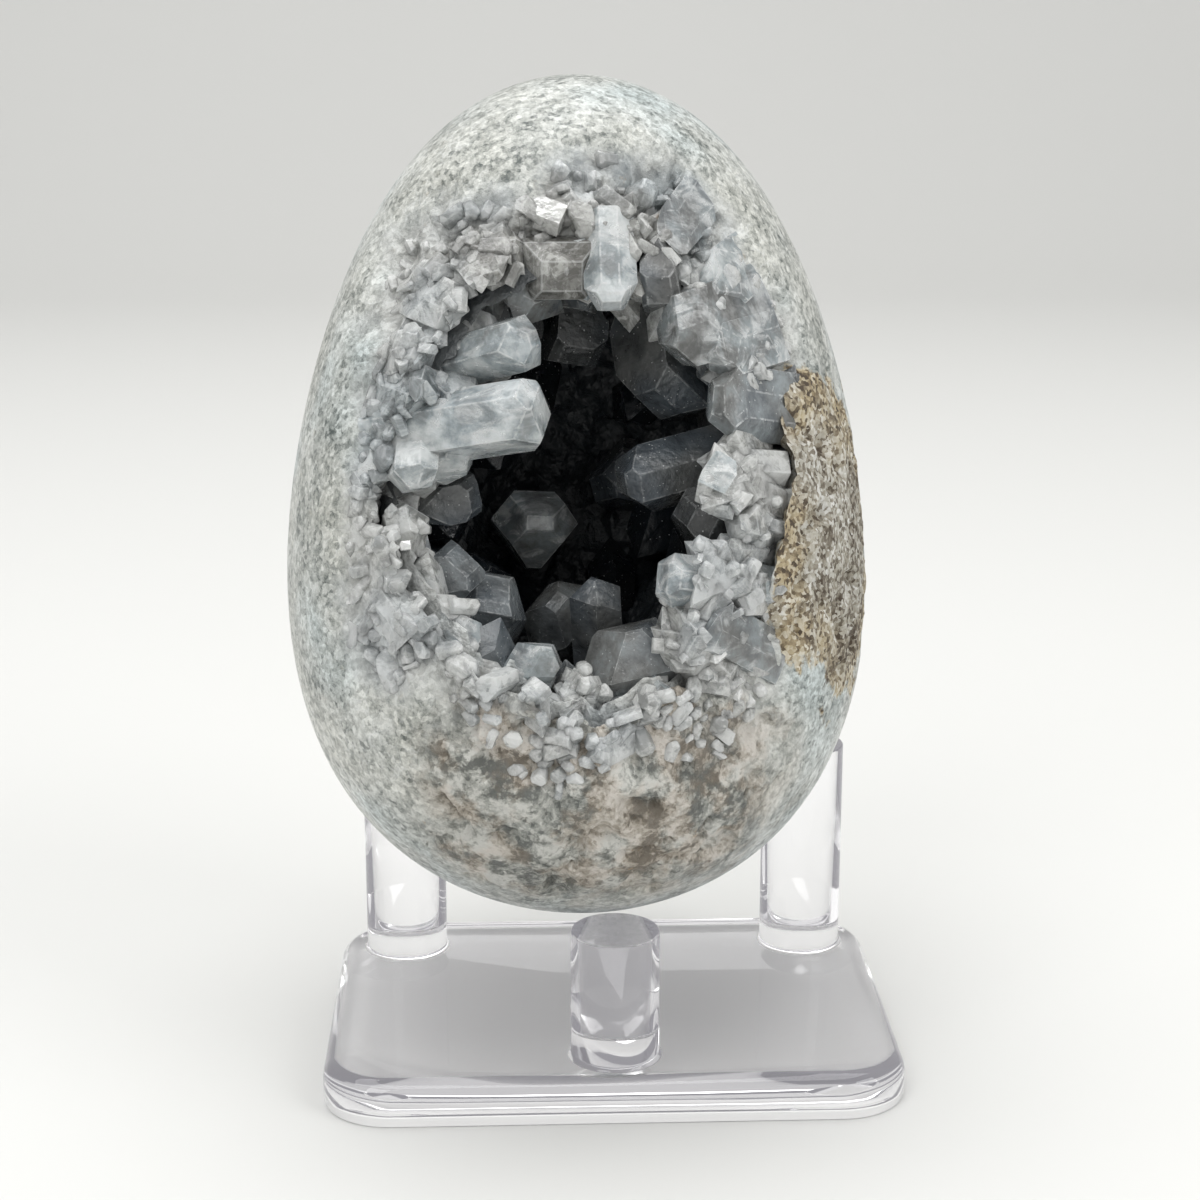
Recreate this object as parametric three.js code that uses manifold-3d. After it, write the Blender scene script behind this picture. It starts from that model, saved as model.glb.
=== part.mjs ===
// A celestite geode ground into an egg, leaning back on a clear acrylic stand of three pegs.
// Millimetres, +Z up, the viewer looks along +Y. The origin is the middle of the stand's underside.
// The egg has a frame of its own: its origin is the blunt end, +Z runs along the egg to the pointed end.
import * as THREE from "three";
import { mergeVertices } from "three/addons/utils/BufferGeometryUtils.js";
import Module from "manifold-3d";

const wasm = await Module();
wasm.setup();

// The stand
const PLATE_WIDTH = 84;
const PLATE_DEPTH = 61;
const PLATE_THICKNESS = 6.35;
const PLATE_CORNER_RADIUS = 10;
const PLATE_EDGE_RADIUS = 2.8;
const PEG_RADIUS = 6.35;
const PEG_SEGMENTS = 24;
const PEG_RIM_CHAMFER = 0.4;
const PEG_FOOT_FLARE = 0.35;
const PEG_FOOT_HEIGHT = 0.7;
const FRONT_PEG_HEIGHT = 19;
const REAR_PEG_HEIGHT = 33.3;
const FRONT_PEG_Y = -20.8;
const REAR_PEG_Y = 19.7;
const REAR_PEG_X = 31.5;

// The egg: a turned profile, slightly oval and slightly bowed, as a hand-ground egg is
const EGG_LENGTH = 120;
const EGG_RADIUS = 42.8;
const EGG_BLUNTNESS = [0.139, 0.049, -0.0067];
const EGG_OVAL = 0.078;
const EGG_BOW = [-0.83, -0.59];
const EGG_POSITION = [-2, -9.3, 24.35];
const EGG_TILT = THREE.MathUtils.degToRad(9.7);
const EGG_LEAN = THREE.MathUtils.degToRad(-1.2);
const EGG_RINGS = 20;
const EGG_SEGMENTS = 36;

// Spaces and patches are round lobes in the egg's frame, each with a middle and three half-sizes
const DEEP_HOLLOW = [
  { middle: [-1.5, -20, 61.5], half: [28, 34, 33], detail: 2, seed: 11 },
  { middle: [-3, -35, 95], half: [11, 9.5, 8], detail: 1, seed: 12 },
];
const BROKEN_RIM = [
  { middle: [-3, -40, 62], half: [28, 24, 38], detail: 2, seed: 21 },
  { middle: [-16, -28, 91], half: [14, 13, 12], detail: 2, seed: 22 },
  { middle: [8, -27, 97], half: [14, 14, 12], detail: 2, seed: 23 },
  { middle: [16, -32, 45], half: [11, 12, 19], detail: 1, seed: 24 },
  { middle: [1, -36, 26], half: [25, 17, 13], detail: 2, seed: 25 },
  { middle: [-20, -27, 56], half: [14, 14, 25], detail: 1, seed: 26 },
  { middle: [22, -28, 79], half: [12, 13, 16], detail: 1, seed: 27 },
];
const EARTHY_PATCH = [
  { middle: [38, -14, 53], half: [17, 21, 22], detail: 2, seed: 31 },
  { middle: [30, -18, 64], half: [11, 14, 12], detail: 1, seed: 32 },
];
const HOLLOW_UNEVENNESS = 0.05;
const RIM_UNEVENNESS = 0.12;
const RIM_DEPTH = 3.4;
const CRUST_CLEARANCE = 0.3;
const CRUST_THICKNESS = 2.6;
const RIM_FLOOR_DETAIL = 5;

// Rough ground: how many times each side of an icosahedron is parted, and how deep its corners lie
const BROKEN_GROUND = { detail: 11, shallow: 0.4, deep: 2.6, seed: 41 };
const EARTHY_GROUND = { detail: 14, shallow: -0.5, deep: 1.4, seed: 42 };

// Crystals that grow on the crust everywhere: how many, and how big deep inside and at the mouth
const FIELD_CRYSTALS = 40;
const FIELD_SEED = 2024;
const FIELD_LEAN = 0.9;
const FIELD_MIDDLE = [-1, -16, 61];
const MOUTH_Y = -40;
const DEEP_Y = -18;
const DEEP_WIDTH = [8, 13];
const MOUTH_WIDTH = [4.5, 7];
const FIELD_LENGTH = [0.5, 1.1];
const FIELD_THICKNESS = [0.55, 0.9];
const ROOT_HEIGHT = 0.5;
const CROWDING = 0.55;

// The large crystals, in the egg's frame: root, tip, size across and through, and turn about their own axis
const LARGE_CRYSTALS = [
  { name: "left prism", root: [-29, -24, 70], tip: [-4.5, -33.5, 73], size: [10.5, 9.5], turn: 105 },
  { name: "left block", root: [-26, -22, 74], tip: [-23.5, -34.5, 75.5], size: [11, 9], turn: 35 },
  { name: "left lower knob", root: [-23, -26, 70], tip: [-23.5, -34, 63], size: [7, 6], turn: 10 },
  { name: "left outer knob", root: [-29, -23, 69], tip: [-28.5, -31, 64], size: [6, 5], turn: 50 },
  { name: "upper left blade", root: [-18, -23, 80], tip: [-6.2, -31, 82.5], size: [9.5, 7], turn: 70 },
  { name: "hanging crystal", root: [3, -25, 98], tip: [3, -32, 85.3], size: [7, 6.5], turn: 0 },
  { name: "ceiling slab", root: [17, -4, 92], tip: [8.5, -19, 72], size: [21, 10], turn: 80 },
  { name: "inner ceiling slab", root: [-3, -2, 93], tip: [-1, -16, 79], size: [14, 8], turn: 85 },
  { name: "ceiling face", root: [12, -14, 97], tip: [9.5, -29, 87], size: [12, 6], turn: 80 },
  { name: "right hexagon", root: [22, -15, 87], tip: [11.5, -30.5, 82], size: [12, 10.5], turn: 25 },
  { name: "right window", root: [26, -17, 82], tip: [16.5, -29, 79.5], size: [8.5, 7.5], turn: -20 },
  { name: "right rim block", root: [21, -14, 92], tip: [17.5, -26.5, 88], size: [11, 9], turn: 15 },
  { name: "right wedge", root: [31, -16, 71.5], tip: [16.5, -30, 73.5], size: [10.5, 9], turn: 40 },
  { name: "right prism", root: [28, -13, 68], tip: [3, -22, 62.3], size: [9.5, 8.5], turn: 10 },
  { name: "right floor face", root: [29, -12, 52], tip: [11, -25, 59], size: [13, 9], turn: 10 },
  { name: "glassy prism", root: [26, -24, 47], tip: [7.5, -33, 50.5], size: [6.5, 6], turn: 30 },
  { name: "right lower block", root: [23, -23, 38], tip: [12, -33.5, 45], size: [9, 8], turn: 15 },
  { name: "floor crystal", root: [6, -18, 28], tip: [5, -31, 43.5], size: [15, 10], turn: 12 },
  { name: "floor blade", root: [1, -12, 30], tip: [0, -22, 50], size: [8.5, 6], turn: -40 },
  { name: "middle hexagon", root: [-9, 14, 54], tip: [-7.5, -9, 57], size: [12, 11], turn: 0 },
  { name: "middle spear", root: [-3, 4, 36], tip: [-5.5, -14, 46], size: [12, 8], turn: 45 },
  { name: "back block", root: [10, 16, 60], tip: [5, 2, 65], size: [13, 10], turn: 30 },
  { name: "left dark plate", root: [-30, -14, 62.5], tip: [-14.5, -25, 61.5], size: [11, 6], turn: 75 },
  { name: "left floor crystal", root: [-19, -8, 36], tip: [-13, -23, 50], size: [11, 8], turn: 5 },
  { name: "left floor block", root: [-25, -14, 44], tip: [-17, -26, 54], size: [9, 7], turn: 65 },
  { name: "left rim slab", root: [-27, -27, 49], tip: [-24.5, -33, 61], size: [7.5, 5.5], turn: 60 },
  { name: "lower left tip", root: [-13, -22, 31], tip: [-7, -34, 42], size: [8, 6], turn: 20 },
  { name: "lower left point", root: [-20, -22, 33], tip: [-17.5, -33.5, 46], size: [7.5, 6], turn: 70 },
  { name: "left mass", root: [-25, -16, 73], tip: [-16, -32.5, 74], size: [14, 12], turn: 30 },
  { name: "upper left mass", root: [-24, -14, 83], tip: [-12, -30.5, 80.5], size: [13, 11], turn: 60 },
  { name: "lower left mass", root: [-26, -18, 67.5], tip: [-17, -31, 67.5], size: [8.5, 7.5], turn: 15 },
  { name: "ceiling shelf", root: [-4, -14, 99.5], tip: [-3.5, -32.5, 90], size: [21, 8], turn: 0 },
  { name: "ceiling shelf end", root: [-14, -18, 99], tip: [-11, -32.5, 90.5], size: [10, 8], turn: 20 },
  { name: "upper left knob", root: [-17, -24, 97], tip: [-13, -35, 91], size: [7.5, 6.5], turn: 25 },
  { name: "upper left block", root: [-24, -22, 90], tip: [-18.5, -34, 86.5], size: [8.5, 7], turn: 50 },
  { name: "upper right spike", root: [17, -20, 101], tip: [12.5, -31, 95], size: [8, 6], turn: 15 },
  { name: "left ledge", root: [-29, -24, 78], tip: [-22, -33, 81], size: [8, 7], turn: 80 },
  { name: "lower left knob", root: [-25, -25, 44], tip: [-19, -35, 47], size: [6.5, 5.5], turn: 15 },
  { name: "lower left block", root: [-22, -26, 37], tip: [-14.5, -36, 40], size: [8, 6.5], turn: 40 },
  { name: "lower knob", root: [-6, -26, 30], tip: [-1.5, -37, 37], size: [7.5, 6], turn: 65 },
  { name: "bottom block", root: [4, -27, 28], tip: [8, -37, 35.5], size: [8, 7], turn: 30 },
  { name: "lower right knob", root: [20, -23, 34], tip: [14.5, -34.5, 39.5], size: [7, 6.5], turn: 5 },
  { name: "right lower knob", root: [26, -22, 46], tip: [18.5, -33, 48], size: [7, 6], turn: 35 },
  { name: "right ledge", root: [28, -21, 57], tip: [19, -32.5, 56.5], size: [8, 6], turn: 75 },
  { name: "right sugar knob", root: [28, -20, 62], tip: [18.5, -32, 62.5], size: [7, 6], turn: 10 },
];

// Shape of one crystal: a flattened prism closed by a wedge, with its edges cut off
const PRISM_ANGLE = THREE.MathUtils.degToRad(38);
const SHOULDER = 0.82;
const WEDGE_ANGLE = THREE.MathUtils.degToRad(50);
const END_ANGLE = THREE.MathUtils.degToRad(42);
const BLUNT_SHARE = 0.24;
const END_SETBACK = 0.1;

// How far faces may be out of true, as a share
const PRISM_UNEVENNESS = 0.12;
const WEDGE_UNEVENNESS = 0.15;
const END_UNEVENNESS = 0.2;

function finish(color, roughness) {
  return new THREE.MeshStandardMaterial({ color, roughness, metalness: 0 });
}

// A repeatable stream of numbers from 0 to 1, so that the model is the same each time
function randomStream(seed) {
  let state = seed;
  return () => {
    state = (state * 16807) % 2147483647;
    return state / 2147483647;
  };
}

function mix(low, high, share) {
  return low + (high - low) * share;
}

function vector(list) {
  return new THREE.Vector3(...list);
}

// The same shape with its shared corners merged and nothing kept but their places
function bareShape(geometry) {
  const bare = new THREE.BufferGeometry();
  bare.setAttribute("position", geometry.getAttribute("position"));
  bare.setIndex(geometry.index);
  return mergeVertices(bare, 1e-3);
}

// A closed geometry as a solid that can be joined and cut
function solidFrom(geometry) {
  const merged = bareShape(geometry);
  return new wasm.Manifold(
    new wasm.Mesh({
      numProp: 3,
      vertProperties: merged.getAttribute("position").array,
      triVerts: new Uint32Array(merged.index.array),
    }),
  );
}

// A solid as a geometry with flat faces
function geometryFrom(solid) {
  const mesh = solid.getMesh();
  const geometry = new THREE.BufferGeometry();
  geometry.setAttribute("position", new THREE.BufferAttribute(mesh.vertProperties, 3));
  geometry.setIndex(new THREE.BufferAttribute(mesh.triVerts, 1));
  const flat = geometry.toNonIndexed();
  flat.computeVertexNormals();
  return flat;
}

function joinAll(solids) {
  return solids.reduce((whole, one) => whole.add(one));
}

// The biggest connected body of a solid, without loose chips
function mainBody(solid) {
  return solid.decompose().reduce((a, b) => (a.volume() > b.volume() ? a : b));
}

function namedMesh(name, geometry, material) {
  const mesh = new THREE.Mesh(geometry, material);
  mesh.name = name;
  return mesh;
}

// The point of the egg's surface that lies in a direction from its middle, moved inwards by inset
function eggPoint(direction, inset) {
  const [k1, k2, k3] = EGG_BLUNTNESS;
  const cosine = -direction.z;
  const t = Math.acos(THREE.MathUtils.clamp(cosine, -1, 1));
  const around = Math.atan2(direction.y, direction.x);
  const swell = 1 + k1 * Math.cos(t) + k2 * Math.cos(2 * t) + k3 * Math.cos(3 * t);
  const radius = (EGG_RADIUS - inset) * Math.sin(t) * swell * (1 + EGG_OVAL * Math.sin(2 * around));
  const bow = Math.sin(t) ** 2 * (EGG_BOW[0] + EGG_BOW[1] * cosine);
  return new THREE.Vector3(
    radius * Math.cos(around) + bow,
    radius * Math.sin(around),
    EGG_LENGTH / 2 - (EGG_LENGTH / 2 - inset) * cosine,
  );
}

// The whole egg with no hollow, as a smooth turned surface moved inwards by inset
function smoothEgg(inset) {
  const shape = bareShape(new THREE.SphereGeometry(1, EGG_SEGMENTS, EGG_RINGS).rotateX(Math.PI / 2));
  const points = shape.getAttribute("position");
  for (let i = 0; i < points.count; i++) {
    const direction = new THREE.Vector3().fromBufferAttribute(points, i).normalize();
    points.setXYZ(i, ...eggPoint(direction, inset));
  }
  return solidFrom(shape);
}

// The whole egg with a coarse faceted surface whose corners lie at uneven depths
function roughEgg({ detail, shallow, deep, seed }) {
  const random = randomStream(seed);
  const shape = bareShape(new THREE.IcosahedronGeometry(1, detail));
  const points = shape.getAttribute("position");
  for (let i = 0; i < points.count; i++) {
    const direction = new THREE.Vector3().fromBufferAttribute(points, i).normalize();
    points.setXYZ(i, ...eggPoint(direction, mix(shallow, deep, random())));
  }
  return solidFrom(shape);
}

// Round lobes with uneven faceted walls, joined, each grown or shrunk by a distance
function lobes(list, unevenness, grow) {
  const solids = list.map(({ middle, half, detail, seed }) => {
    const random = randomStream(seed);
    const shape = bareShape(new THREE.IcosahedronGeometry(1, detail));
    const points = shape.getAttribute("position");
    for (let i = 0; i < points.count; i++) {
      const uneven = 1 + unevenness * (random() * 2 - 1);
      points.setXYZ(
        i,
        middle[0] + points.getX(i) * uneven * (half[0] + grow),
        middle[1] + points.getY(i) * uneven * (half[1] + grow),
        middle[2] + points.getZ(i) * uneven * (half[2] + grow),
      );
    }
    return solidFrom(shape);
  });
  return joinAll(solids);
}

// The space that the hollow and the broken ground round its mouth take from the stone
function brokenSpace(grow) {
  const floorDepth = RIM_DEPTH + grow;
  const floor = roughEgg({ detail: RIM_FLOOR_DETAIL, shallow: floorDepth, deep: floorDepth, seed: 1 });
  const rim = lobes(BROKEN_RIM, RIM_UNEVENNESS, grow).subtract(floor);
  return lobes(DEEP_HOLLOW, HOLLOW_UNEVENNESS, grow).add(rim);
}

// The corners where three of the planes meet, kept where no other plane cuts them off
function cornersOf(planes) {
  const corners = [];
  const meet = new THREE.Matrix3();
  for (let i = 0; i < planes.length; i++) {
    for (let j = i + 1; j < planes.length; j++) {
      for (let k = j + 1; k < planes.length; k++) {
        const [a, b, c] = [planes[i].normal, planes[j].normal, planes[k].normal];
        meet.set(a.x, a.y, a.z, b.x, b.y, b.z, c.x, c.y, c.z);
        if (Math.abs(meet.determinant()) < 1e-4) continue;
        const corner = new THREE.Vector3(-planes[i].constant, -planes[j].constant, -planes[k].constant);
        corner.applyMatrix3(meet.invert());
        if (planes.every((plane) => plane.distanceToPoint(corner) < 1e-5)) corners.push(corner);
      }
    }
  }
  return corners;
}

// The corners that lie on one plane, each once, in order round the face
function faceCorners({ normal, constant }, corners) {
  const face = [];
  for (const corner of corners) {
    const onPlane = Math.abs(normal.dot(corner) + constant) < 1e-4;
    if (onPlane && face.every((other) => other.distanceTo(corner) > 1e-3)) face.push(corner);
  }
  if (face.length < 3) return [];
  const sum = face.reduce((total, corner) => total.add(corner), new THREE.Vector3());
  const centre = sum.divideScalar(face.length);
  const first = face[0].clone().sub(centre).normalize();
  const second = normal.clone().cross(first);
  const angle = (corner) => {
    const spoke = corner.clone().sub(centre);
    return Math.atan2(spoke.dot(second), spoke.dot(first));
  };
  return face.sort((a, b) => angle(a) - angle(b));
}

// The convex solid that the planes close, each plane giving one flat face
function solidBetween(planes, place) {
  const corners = cornersOf(planes);
  const positions = [];
  for (const plane of planes) {
    const face = faceCorners(plane, corners).map((corner) => corner.clone().applyMatrix4(place));
    for (let i = 1; i + 1 < face.length; i++) {
      positions.push(...face[0], ...face[i], ...face[i + 1]);
    }
  }
  const shape = new THREE.BufferGeometry();
  shape.setAttribute("position", new THREE.Float32BufferAttribute(positions, 3));
  return solidFrom(shape);
}

// One crystal from its root to its tip, with faces a little out of true as grown ones are
function crystal({ root, tip, size: [width, thickness], turn }, seed, trimmed) {
  const random = randomStream(seed);
  const uneven = (amount) => 1 + amount * (random() * 2 - 1);
  const axis = tip.clone().sub(root);
  const length = axis.length();
  const planes = [];
  const addPlane = (x, y, z, distance) => {
    planes.push(new THREE.Plane(new THREE.Vector3(x, y, z), -distance));
  };
  addPlane(0, 0, -1, 0);
  for (const side of [1, -1]) {
    addPlane(0, side, 0, (thickness / 2) * uneven(PRISM_UNEVENNESS));
    for (const out of [1, -1]) {
      const shoulder = (width / 2) * SHOULDER * uneven(PRISM_UNEVENNESS);
      addPlane(Math.cos(PRISM_ANGLE) * side, Math.sin(PRISM_ANGLE) * out, 0, shoulder);
    }
    const wedge = WEDGE_ANGLE * uneven(WEDGE_UNEVENNESS);
    addPlane(0, side * Math.cos(wedge), Math.sin(wedge), length * Math.sin(wedge));
    if (trimmed) {
      const end = END_ANGLE * uneven(END_UNEVENNESS);
      const reach = length * Math.sin(end) + width * END_SETBACK * random();
      addPlane(side * Math.cos(end), 0, Math.sin(end), reach);
    }
  }
  if (trimmed) addPlane(0, 0, 1, length - thickness * BLUNT_SHARE * random());
  const along = new THREE.Vector3(0, 0, 1);
  const rotation = new THREE.Quaternion().setFromUnitVectors(along, axis.normalize());
  rotation.multiply(new THREE.Quaternion().setFromAxisAngle(along, THREE.MathUtils.degToRad(turn)));
  return solidBetween(planes, new THREE.Matrix4().compose(root, rotation, new THREE.Vector3(1, 1, 1)));
}

// How far a ray from inside the deep hollow runs before it meets the wall
function wallDistance(from, direction) {
  const [{ middle, half }] = DEEP_HOLLOW;
  const start = from.clone().sub(vector(middle)).divide(vector(half));
  const step = direction.clone().divide(vector(half));
  const [a, b, c] = [step.dot(step), start.dot(step), start.dot(start) - 1];
  return (-b + Math.sqrt(b * b - a * c)) / a;
}

// Whether a large crystal already fills the place
function isCrowded(place) {
  return LARGE_CRYSTALS.some(({ root, tip, size: [width] }) => {
    const axis = new THREE.Line3(vector(root), vector(tip));
    const nearest = axis.closestPointToPoint(place, true, new THREE.Vector3());
    return nearest.distanceTo(place) < width * CROWDING;
  });
}

// Crystals spread evenly over the wall, bigger deep inside than at the mouth, each leaning its own way
function fieldCrystals() {
  const random = randomStream(FIELD_SEED);
  const golden = Math.PI * (3 - Math.sqrt(5));
  const middle = vector(FIELD_MIDDLE);
  const crystals = [];
  for (let i = 0; i < FIELD_CRYSTALS; i++) {
    const height = 1 - (2 * (i + 0.5)) / FIELD_CRYSTALS;
    const across = Math.sqrt(1 - height * height);
    const outward = new THREE.Vector3(across * Math.cos(golden * i), across * Math.sin(golden * i), height);
    const wall = middle.clone().addScaledVector(outward, wallDistance(middle, outward));
    const depth = THREE.MathUtils.clamp((wall.y - MOUTH_Y) / (DEEP_Y - MOUTH_Y), 0, 1);
    const share = random();
    const width = mix(mix(...MOUTH_WIDTH, share), mix(...DEEP_WIDTH, share), depth);
    const lean = new THREE.Vector3(random() - 0.5, random() - 0.5, random() - 0.5);
    const axis = lean.multiplyScalar(FIELD_LEAN).sub(outward).normalize();
    const reach = CRUST_THICKNESS + width * mix(...FIELD_LENGTH, random());
    const tip = wall.clone().addScaledVector(axis, reach);
    if (wall.y < MOUTH_Y || isCrowded(tip)) continue;
    crystals.push({
      root: wall.clone().addScaledVector(axis, ROOT_HEIGHT),
      tip,
      size: [width, width * mix(...FIELD_THICKNESS, random())],
      turn: 360 * random(),
    });
  }
  return crystals;
}

// The lining of the hollow and all the crystals that grow from it, as one solid
function crustSolid() {
  const room = brokenSpace(-CRUST_CLEARANCE).intersect(roughEgg(BROKEN_GROUND));
  const lining = room.subtract(lobes(DEEP_HOLLOW, HOLLOW_UNEVENNESS, -CRUST_CLEARANCE - CRUST_THICKNESS));
  const large = LARGE_CRYSTALS.map((one, i) => {
    return crystal({ ...one, root: vector(one.root), tip: vector(one.tip) }, 101 + 17 * i, true);
  });
  const field = fieldCrystals().map((one, i) => crystal(one, 5003 + 31 * i, false));
  const reach = lobes(DEEP_HOLLOW, HOLLOW_UNEVENNESS, -CRUST_CLEARANCE);
  const crystals = joinAll([...large, ...field]).intersect(reach).intersect(smoothEgg(CRUST_CLEARANCE));
  return mainBody(crystals.add(lining));
}

// The stone of the egg, with its hollow, the broken ground at the mouth and the earthy patch
function stoneSolid() {
  const patch = lobes(EARTHY_PATCH, RIM_UNEVENNESS, 0).subtract(roughEgg(EARTHY_GROUND));
  return mainBody(smoothEgg(0).subtract(brokenSpace(0)).subtract(patch));
}

// The base plate: a rounded rectangle with its upper edge rounded over
function plateGeometry() {
  const [x, y] = [PLATE_WIDTH / 2 - PLATE_EDGE_RADIUS, PLATE_DEPTH / 2 - PLATE_EDGE_RADIUS];
  const r = PLATE_CORNER_RADIUS - PLATE_EDGE_RADIUS;
  const outline = new THREE.Shape();
  outline.absarc(x - r, y - r, r, 0, Math.PI / 2);
  outline.absarc(-x + r, y - r, r, Math.PI / 2, Math.PI);
  outline.absarc(-x + r, -y + r, r, Math.PI, 1.5 * Math.PI);
  outline.absarc(x - r, -y + r, r, 1.5 * Math.PI, 2 * Math.PI);
  const slab = new THREE.ExtrudeGeometry(outline, {
    depth: PLATE_THICKNESS - PLATE_EDGE_RADIUS,
    bevelThickness: PLATE_EDGE_RADIUS,
    bevelSize: PLATE_EDGE_RADIUS,
    bevelSegments: 3,
    curveSegments: 6,
  });
  const above = new THREE.BoxGeometry(2 * PLATE_WIDTH, 2 * PLATE_DEPTH, 2 * PLATE_THICKNESS);
  above.translate(0, 0, PLATE_THICKNESS);
  return geometryFrom(solidFrom(slab).intersect(solidFrom(above)));
}

// A peg stands on the plate, with a thin ring of set cement round its foot
function pegGeometry(height) {
  const profile = [
    [0, 0],
    [PEG_RADIUS + PEG_FOOT_FLARE, 0],
    [PEG_RADIUS, PEG_FOOT_HEIGHT],
    [PEG_RADIUS, height - PEG_RIM_CHAMFER],
    [PEG_RADIUS - PEG_RIM_CHAMFER, height],
    [0, height],
  ].map(([x, z]) => new THREE.Vector2(x, z));
  return new THREE.LatheGeometry(profile, PEG_SEGMENTS).rotateX(Math.PI / 2);
}

function peg(name, x, y, height) {
  const mesh = namedMesh(name, pegGeometry(height), finish(0xe8e8ee, 0.05));
  mesh.position.set(x, y, PLATE_THICKNESS);
  return mesh;
}

const egg = new THREE.Group();
egg.position.set(...EGG_POSITION);
egg.rotation.set(-EGG_TILT, EGG_LEAN, 0, "YXZ");
egg.add(
  namedMesh("geode_egg", geometryFrom(stoneSolid()), finish(0xb9c3c6, 0.5)),
  namedMesh("crystal_crust", geometryFrom(crustSolid()), finish(0x8fa3ad, 0.15)),
);

const geodeOnStand = new THREE.Group();
geodeOnStand.add(
  namedMesh("stand_plate", plateGeometry(), finish(0xe8e8ee, 0.05)),
  peg("stand_front_peg", 0, FRONT_PEG_Y, FRONT_PEG_HEIGHT),
  peg("stand_left_rear_peg", -REAR_PEG_X, REAR_PEG_Y, REAR_PEG_HEIGHT),
  peg("stand_right_rear_peg", REAR_PEG_X, REAR_PEG_Y, REAR_PEG_HEIGHT),
  egg,
);

export default geodeOnStand;
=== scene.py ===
"""A polished celestite geode egg leaning back on a clear acrylic stand with three pegs.

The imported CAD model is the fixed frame. The stand's sizes are read from it, and the egg is
rebuilt at a finer grain round the same shape: one profile, one hollow and the same large crystals.
Blender units are metres. Shapes of the egg are worked out in its own frame in millimetres, where
the origin is the blunt end and +Z runs to the pointed end, and are moved to the frame at the end.
"""

import itertools
import logging
import math
from collections.abc import Iterator
from dataclasses import dataclass, field, replace
from enum import Enum

import bmesh
import bpy
import numpy as np
from bpy.types import ID, Collection, Material, Mesh, Node, NodeSocket, NodeTree, Object
from mathutils import Matrix, Vector


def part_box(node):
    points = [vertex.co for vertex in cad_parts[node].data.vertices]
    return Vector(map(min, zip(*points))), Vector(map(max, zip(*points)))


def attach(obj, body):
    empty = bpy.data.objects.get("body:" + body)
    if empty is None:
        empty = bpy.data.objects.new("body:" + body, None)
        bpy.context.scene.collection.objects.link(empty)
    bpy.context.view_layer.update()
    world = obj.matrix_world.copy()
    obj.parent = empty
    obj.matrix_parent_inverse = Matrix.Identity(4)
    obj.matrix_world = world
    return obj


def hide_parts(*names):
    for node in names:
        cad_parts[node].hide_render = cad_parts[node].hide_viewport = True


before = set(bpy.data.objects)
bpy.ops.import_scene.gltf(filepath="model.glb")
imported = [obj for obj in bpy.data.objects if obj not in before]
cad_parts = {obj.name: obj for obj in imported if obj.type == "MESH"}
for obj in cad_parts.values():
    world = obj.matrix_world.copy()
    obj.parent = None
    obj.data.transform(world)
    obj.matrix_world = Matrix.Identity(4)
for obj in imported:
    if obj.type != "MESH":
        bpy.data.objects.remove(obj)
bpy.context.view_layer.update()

BODY = "root"
MM = 0.001

# How broken facets meet, how far they step and tilt, and how wide a crease is
FACET_CRISPNESS = 26.0
FACET_STEP = 0.7
FACET_TILT = 1.1
CREASE = (0.16, 0.02)

CELESTITE_IOR = 1.62
ACRYLIC_IOR = 1.49
# White of milky veils, pale cracks and chips, and of the painted glints on crystal edges
CHIP_AND_GLINT_WHITE = (0.90, 0.92, 0.92)
PATCH_STRENGTH = 0.85

# A place or a colour, a ramp of colours, and what the input of a node takes
Triple = tuple[float, float, float]
Stops = tuple[tuple[float, Triple], ...]
Feed = NodeSocket | float | tuple

log = logging.getLogger("geode")


class Slot(Enum):
    """The record's material slots."""

    STONE = "stone"
    CRYSTAL = "crystal"
    ACRYLIC = "acrylic"


@dataclass(frozen=True)
class Lobe:
    """A round space or patch in the egg's frame.

    Attributes:
        middle: Its middle, in mm.
        half: Its three half-sizes, in mm.
    """

    middle: Triple
    half: Triple

    def depth(self, points: np.ndarray) -> np.ndarray:
        """How far points lie inside the lobe, in mm, and less than 0 outside.

        Args:
            points: Points in the egg's frame, one per row.

        Returns:
            One depth for each point.
        """
        share = np.linalg.norm((points - self.middle) / self.half, axis=1)
        return (1 - share) * min(self.half)


@dataclass(frozen=True)
class BigCrystal:
    """One of the large crystals that can be told apart in the hollow.

    Attributes:
        root: Where it grows from, in the egg's frame, in mm.
        tip: The middle of its end, in mm.
        width: Its size across, in mm.
        thickness: Its size through, in mm.
        turn: Its turn about its own length, in degrees.
        tone: How pale it looks, from 0 to 1, with painted light and shade: low deep in the hollow and
            under its ceiling, high where lit at the mouth.
        rocky: Whether it is broken rock crystal like the ground round the mouth.
    """

    root: Triple
    tip: Triple
    width: float
    thickness: float
    turn: float
    tone: float = 0.1
    rocky: bool = False


DEEP_HOLLOW = (
    Lobe((-1.5, -20, 61.5), (28, 34, 33)),
    Lobe((-3, -35, 95), (11, 9.5, 8)),
)
BROKEN_RIM = (
    Lobe((-3, -40, 62), (28, 24, 38)),
    Lobe((-16, -28, 91), (14, 13, 12)),
    Lobe((8, -27, 97), (14, 14, 12)),
    Lobe((16, -32, 45), (11, 12, 19)),
    Lobe((-20, -27, 56), (14, 14, 25)),
    Lobe((22, -28, 79), (12, 13, 16)),
)
LOWER_PATCH = (
    Lobe((1, -36, 26), (25, 17, 13)),
    Lobe((3, -27, 16), (25, 18, 11)),
)
SLATE_PATCH = (
    Lobe((12.5, -27, 99), (8, 14, 9)),
    Lobe((-24, -30, 72), (7.5, 12, 8)),
)
# Where broken crystal is painted darker under the mouth's overhanging ceiling: painted shade, with a real
# warm tint
SMOKY_SHADE_PATCH = (
    Lobe((-2, -30, 93), (17, 16, 9)),
)
EARTHY_PATCH = (
    Lobe((38, -14, 53), (17, 21, 22)),
    Lobe((30, -18, 64), (11, 14, 12)),
)
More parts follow.
